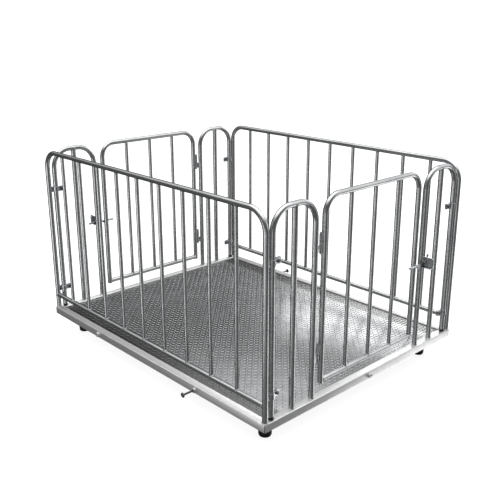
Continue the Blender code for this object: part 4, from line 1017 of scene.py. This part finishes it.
whole = bmesh.new()
lidTop = boxLow - touchGap
lidLow = lidTop - box["lid"]
lid = roundedTray((-boxX, -boxY, lidLow), (boxX, boxY, lidTop), box["corner"])
softEdges(lid, [e for e in lid.edges if all(v.co.z < lidLow + 0.0001 for v in e.verts)], 0.0012, 2)
join(whole, lid)
# pan heads with a socket, the right way up for a lid that is screwed on from below
wide, tall = box["screwHead"], box["screwHeight"]
profile = [(0, lidTop), (box["screw"], lidTop), (wide, lidLow), (wide, lidLow - 0.0012),
           (wide - 0.0008, lidLow - tall), (0.0012, lidLow - tall), (0.0008, lidLow - 0.0008),
           (0, lidLow - 0.0008)]
for sx in (-1, 1):
    for sy in (-1, 1):
        spot = (sx * (boxX - box["screwInset"]), sy * (boxY - box["screwInset"]), 0)
        join(whole, turnedShape(profile, 20), Matrix.Translation(spot), 1)
makePiece("junctionBoxLid", whole, [boxPlastic, zincPlated], "platform_and_pen",
          ["junction_box_lid"])

# the CAD's own beams, leads and board keep their shapes
kept = {"deck_beam_left": galvanisedFrame, "deck_beam_middle": galvanisedFrame,
        "deck_beam_right": galvanisedFrame, "junction_board": solderMask}
for name, sideX, sideY in corners:
    kept["load_cell_lead_" + name] = leadSheath
for name, material in kept.items():
    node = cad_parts[name]
    node.data.materials.clear()
    node.data.materials.append(material)
print("junction box made")


# Pale floor, soft studio light

studio = {"floorRadius": 14.0, "floorGlow": 0.90, "floorShade": "#a8a8a8", "dome": 2.4,
          "horizon": 0.12, "domeStart": 0.55, "domeFull": 0.95}

ground = bmesh.new()
bmesh.ops.create_circle(ground, cap_ends=True, segments=96, radius=studio["floorRadius"])
floorMesh = bpy.data.meshes.new("paleFloor")
ground.to_mesh(floorMesh)
ground.free()
floorObject = bpy.data.objects.new("paleFloor", floorMesh)
scene.collection.objects.link(floorObject)
# Matt white backdrop: even and shadowless, so that the pen stands on its own.
floorMaterial, tree, shader = startMaterial("mattPaleFloor", studio["floorShade"], 0.0, 0.9)
shader.inputs["Specular IOR Level"].default_value = 0.0
shader.inputs["Emission Color"].default_value = (1.0, 1.0, 1.0, 1.0)
shader.inputs["Emission Strength"].default_value = studio["floorGlow"]
floorMesh.materials.append(floorMaterial)
floorObject.visible_glossy = False
floorObject.visible_diffuse = False
floorObject.visible_shadow = False
floorObject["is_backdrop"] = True

world = bpy.data.worlds.new("studio")
scene.world = world
world.use_nodes = True
tree = world.node_tree
tree.nodes.clear()
way = addNode(tree, "ShaderNodeTexCoord").outputs["Generated"]
height = addNode(tree, "ShaderNodeSeparateXYZ", links={0: way}).outputs["Z"]
radiance = addNode(tree, "ShaderNodeMapRange",
                   {"interpolation_type": "SMOOTHSTEP", 1: studio["domeStart"],
                    2: studio["domeFull"], 3: studio["horizon"], 4: studio["dome"]},
                   {0: height}).outputs[0]
flat = addNode(tree, "ShaderNodeVectorMath", {"operation": "MULTIPLY", 1: (1.0, 1.0, 0.0)},
               {0: way})
heading = addNode(tree, "ShaderNodeVectorMath", {"operation": "NORMALIZE"},
                  {0: flat.outputs[0]}).outputs[0]
rays = addNode(tree, "ShaderNodeLightPath").outputs

# What the metal mirrors of the room, and nothing else sees: azimuth, its reach as cosines, between
# which heights it sets in, between which it ends, radiance. Heights are the sine over the horizon.
mirrored = {
    "nearWallLow": (-78, (0.60, 1.0), (-0.44, -0.32), (0.05, -0.20), 0.78),
    "farWallLow": (80, (0.70, 0.95), (-0.44, -0.34), (0.05, -0.20), 0.45),
    "farGround": (86, (0.76, 0.93), (-0.95, -0.55), (-0.30, -0.42), 2.40),
    "farWall": (106, (0.84, 0.965), (0.02, 0.20), (0.59, 0.46), 1.65),
    "rightWall": (62, (0.80, 0.97), (-0.06, 0.08), (0.86, 0.70), 1.05),
    "leftWallHigh": (-160, (0.80, 0.97), (0.30, 0.50), (0.90, 0.75), 0.75),
}
for azimuth, reach, start, finish, glow in mirrored.values():
    aim = (math.cos(math.radians(azimuth)), math.sin(math.radians(azimuth)), 0.0)
    near = addNode(tree, "ShaderNodeVectorMath", {"operation": "DOT_PRODUCT", 1: aim}, {0: heading})
    lobe = addNode(tree, "ShaderNodeMapRange",
                   {"interpolation_type": "SMOOTHSTEP", 1: reach[0], 2: reach[1], 4: glow},
                   {0: near.outputs["Value"]}).outputs[0]
    band = addNode(tree, "ShaderNodeMath", {"operation": "MULTIPLY"}, {
        i: addNode(tree, "ShaderNodeMapRange",
                   {"interpolation_type": "SMOOTHSTEP", 1: span[0], 2: span[1]},
                   {0: height}).outputs[0] for i, span in enumerate((start, finish))}).outputs[0]
    lobe = addNode(tree, "ShaderNodeMath", {"operation": "MULTIPLY"},
                   {0: lobe, 1: rays["Is Glossy Ray"]}).outputs[0]
    radiance = addNode(tree, "ShaderNodeMath", {"operation": "MULTIPLY_ADD"},
                       {0: lobe, 1: band, 2: radiance}).outputs[0]
strength = addNode(tree, "ShaderNodeMix", {3: 1.0},
                   {0: rays["Is Camera Ray"], 2: radiance}).outputs[0]
sky = addNode(tree, "ShaderNodeBackground", {"Color": (1.0, 1.0, 1.0, 1.0)}, {"Strength": strength})
addNode(tree, "ShaderNodeOutputWorld", links={"Surface": sky.outputs[0]})

# They face the pen's middle. The left one only shows in the metal and lights nothing matt.
softboxes = {
    "leftSoftbox": {"azimuth": -92, "z": -0.05, "away": 3.0, "size": (0.50, 1.6), "bright": 2.6,
                    "lights": False},
    "backSoftbox": {"azimuth": 112, "z": 1.55, "away": 4.2, "size": (2.6, 1.6), "bright": 2.5,
                    "lights": True},
}
for name, look in softboxes.items():
    data = bpy.data.lights.new(name, "AREA")
    data.shape = "RECTANGLE"
    data.size, data.size_y = look["size"]
    data.energy = look["bright"] * math.pi * look["size"][0] * look["size"][1]
    lamp = bpy.data.objects.new(name, data)
    turn = math.radians(look["azimuth"])
    lamp.location = (look["away"] * math.cos(turn), look["away"] * math.sin(turn), look["z"])
    aim = Vector((0, 0, 0.45)) - lamp.location
    lamp.rotation_euler = aim.to_track_quat("-Z", "Y").to_euler()
    lamp.visible_camera = False
    lamp.visible_diffuse = look["lights"]
    scene.collection.objects.link(lamp)
print("floor and light made")


low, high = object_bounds()
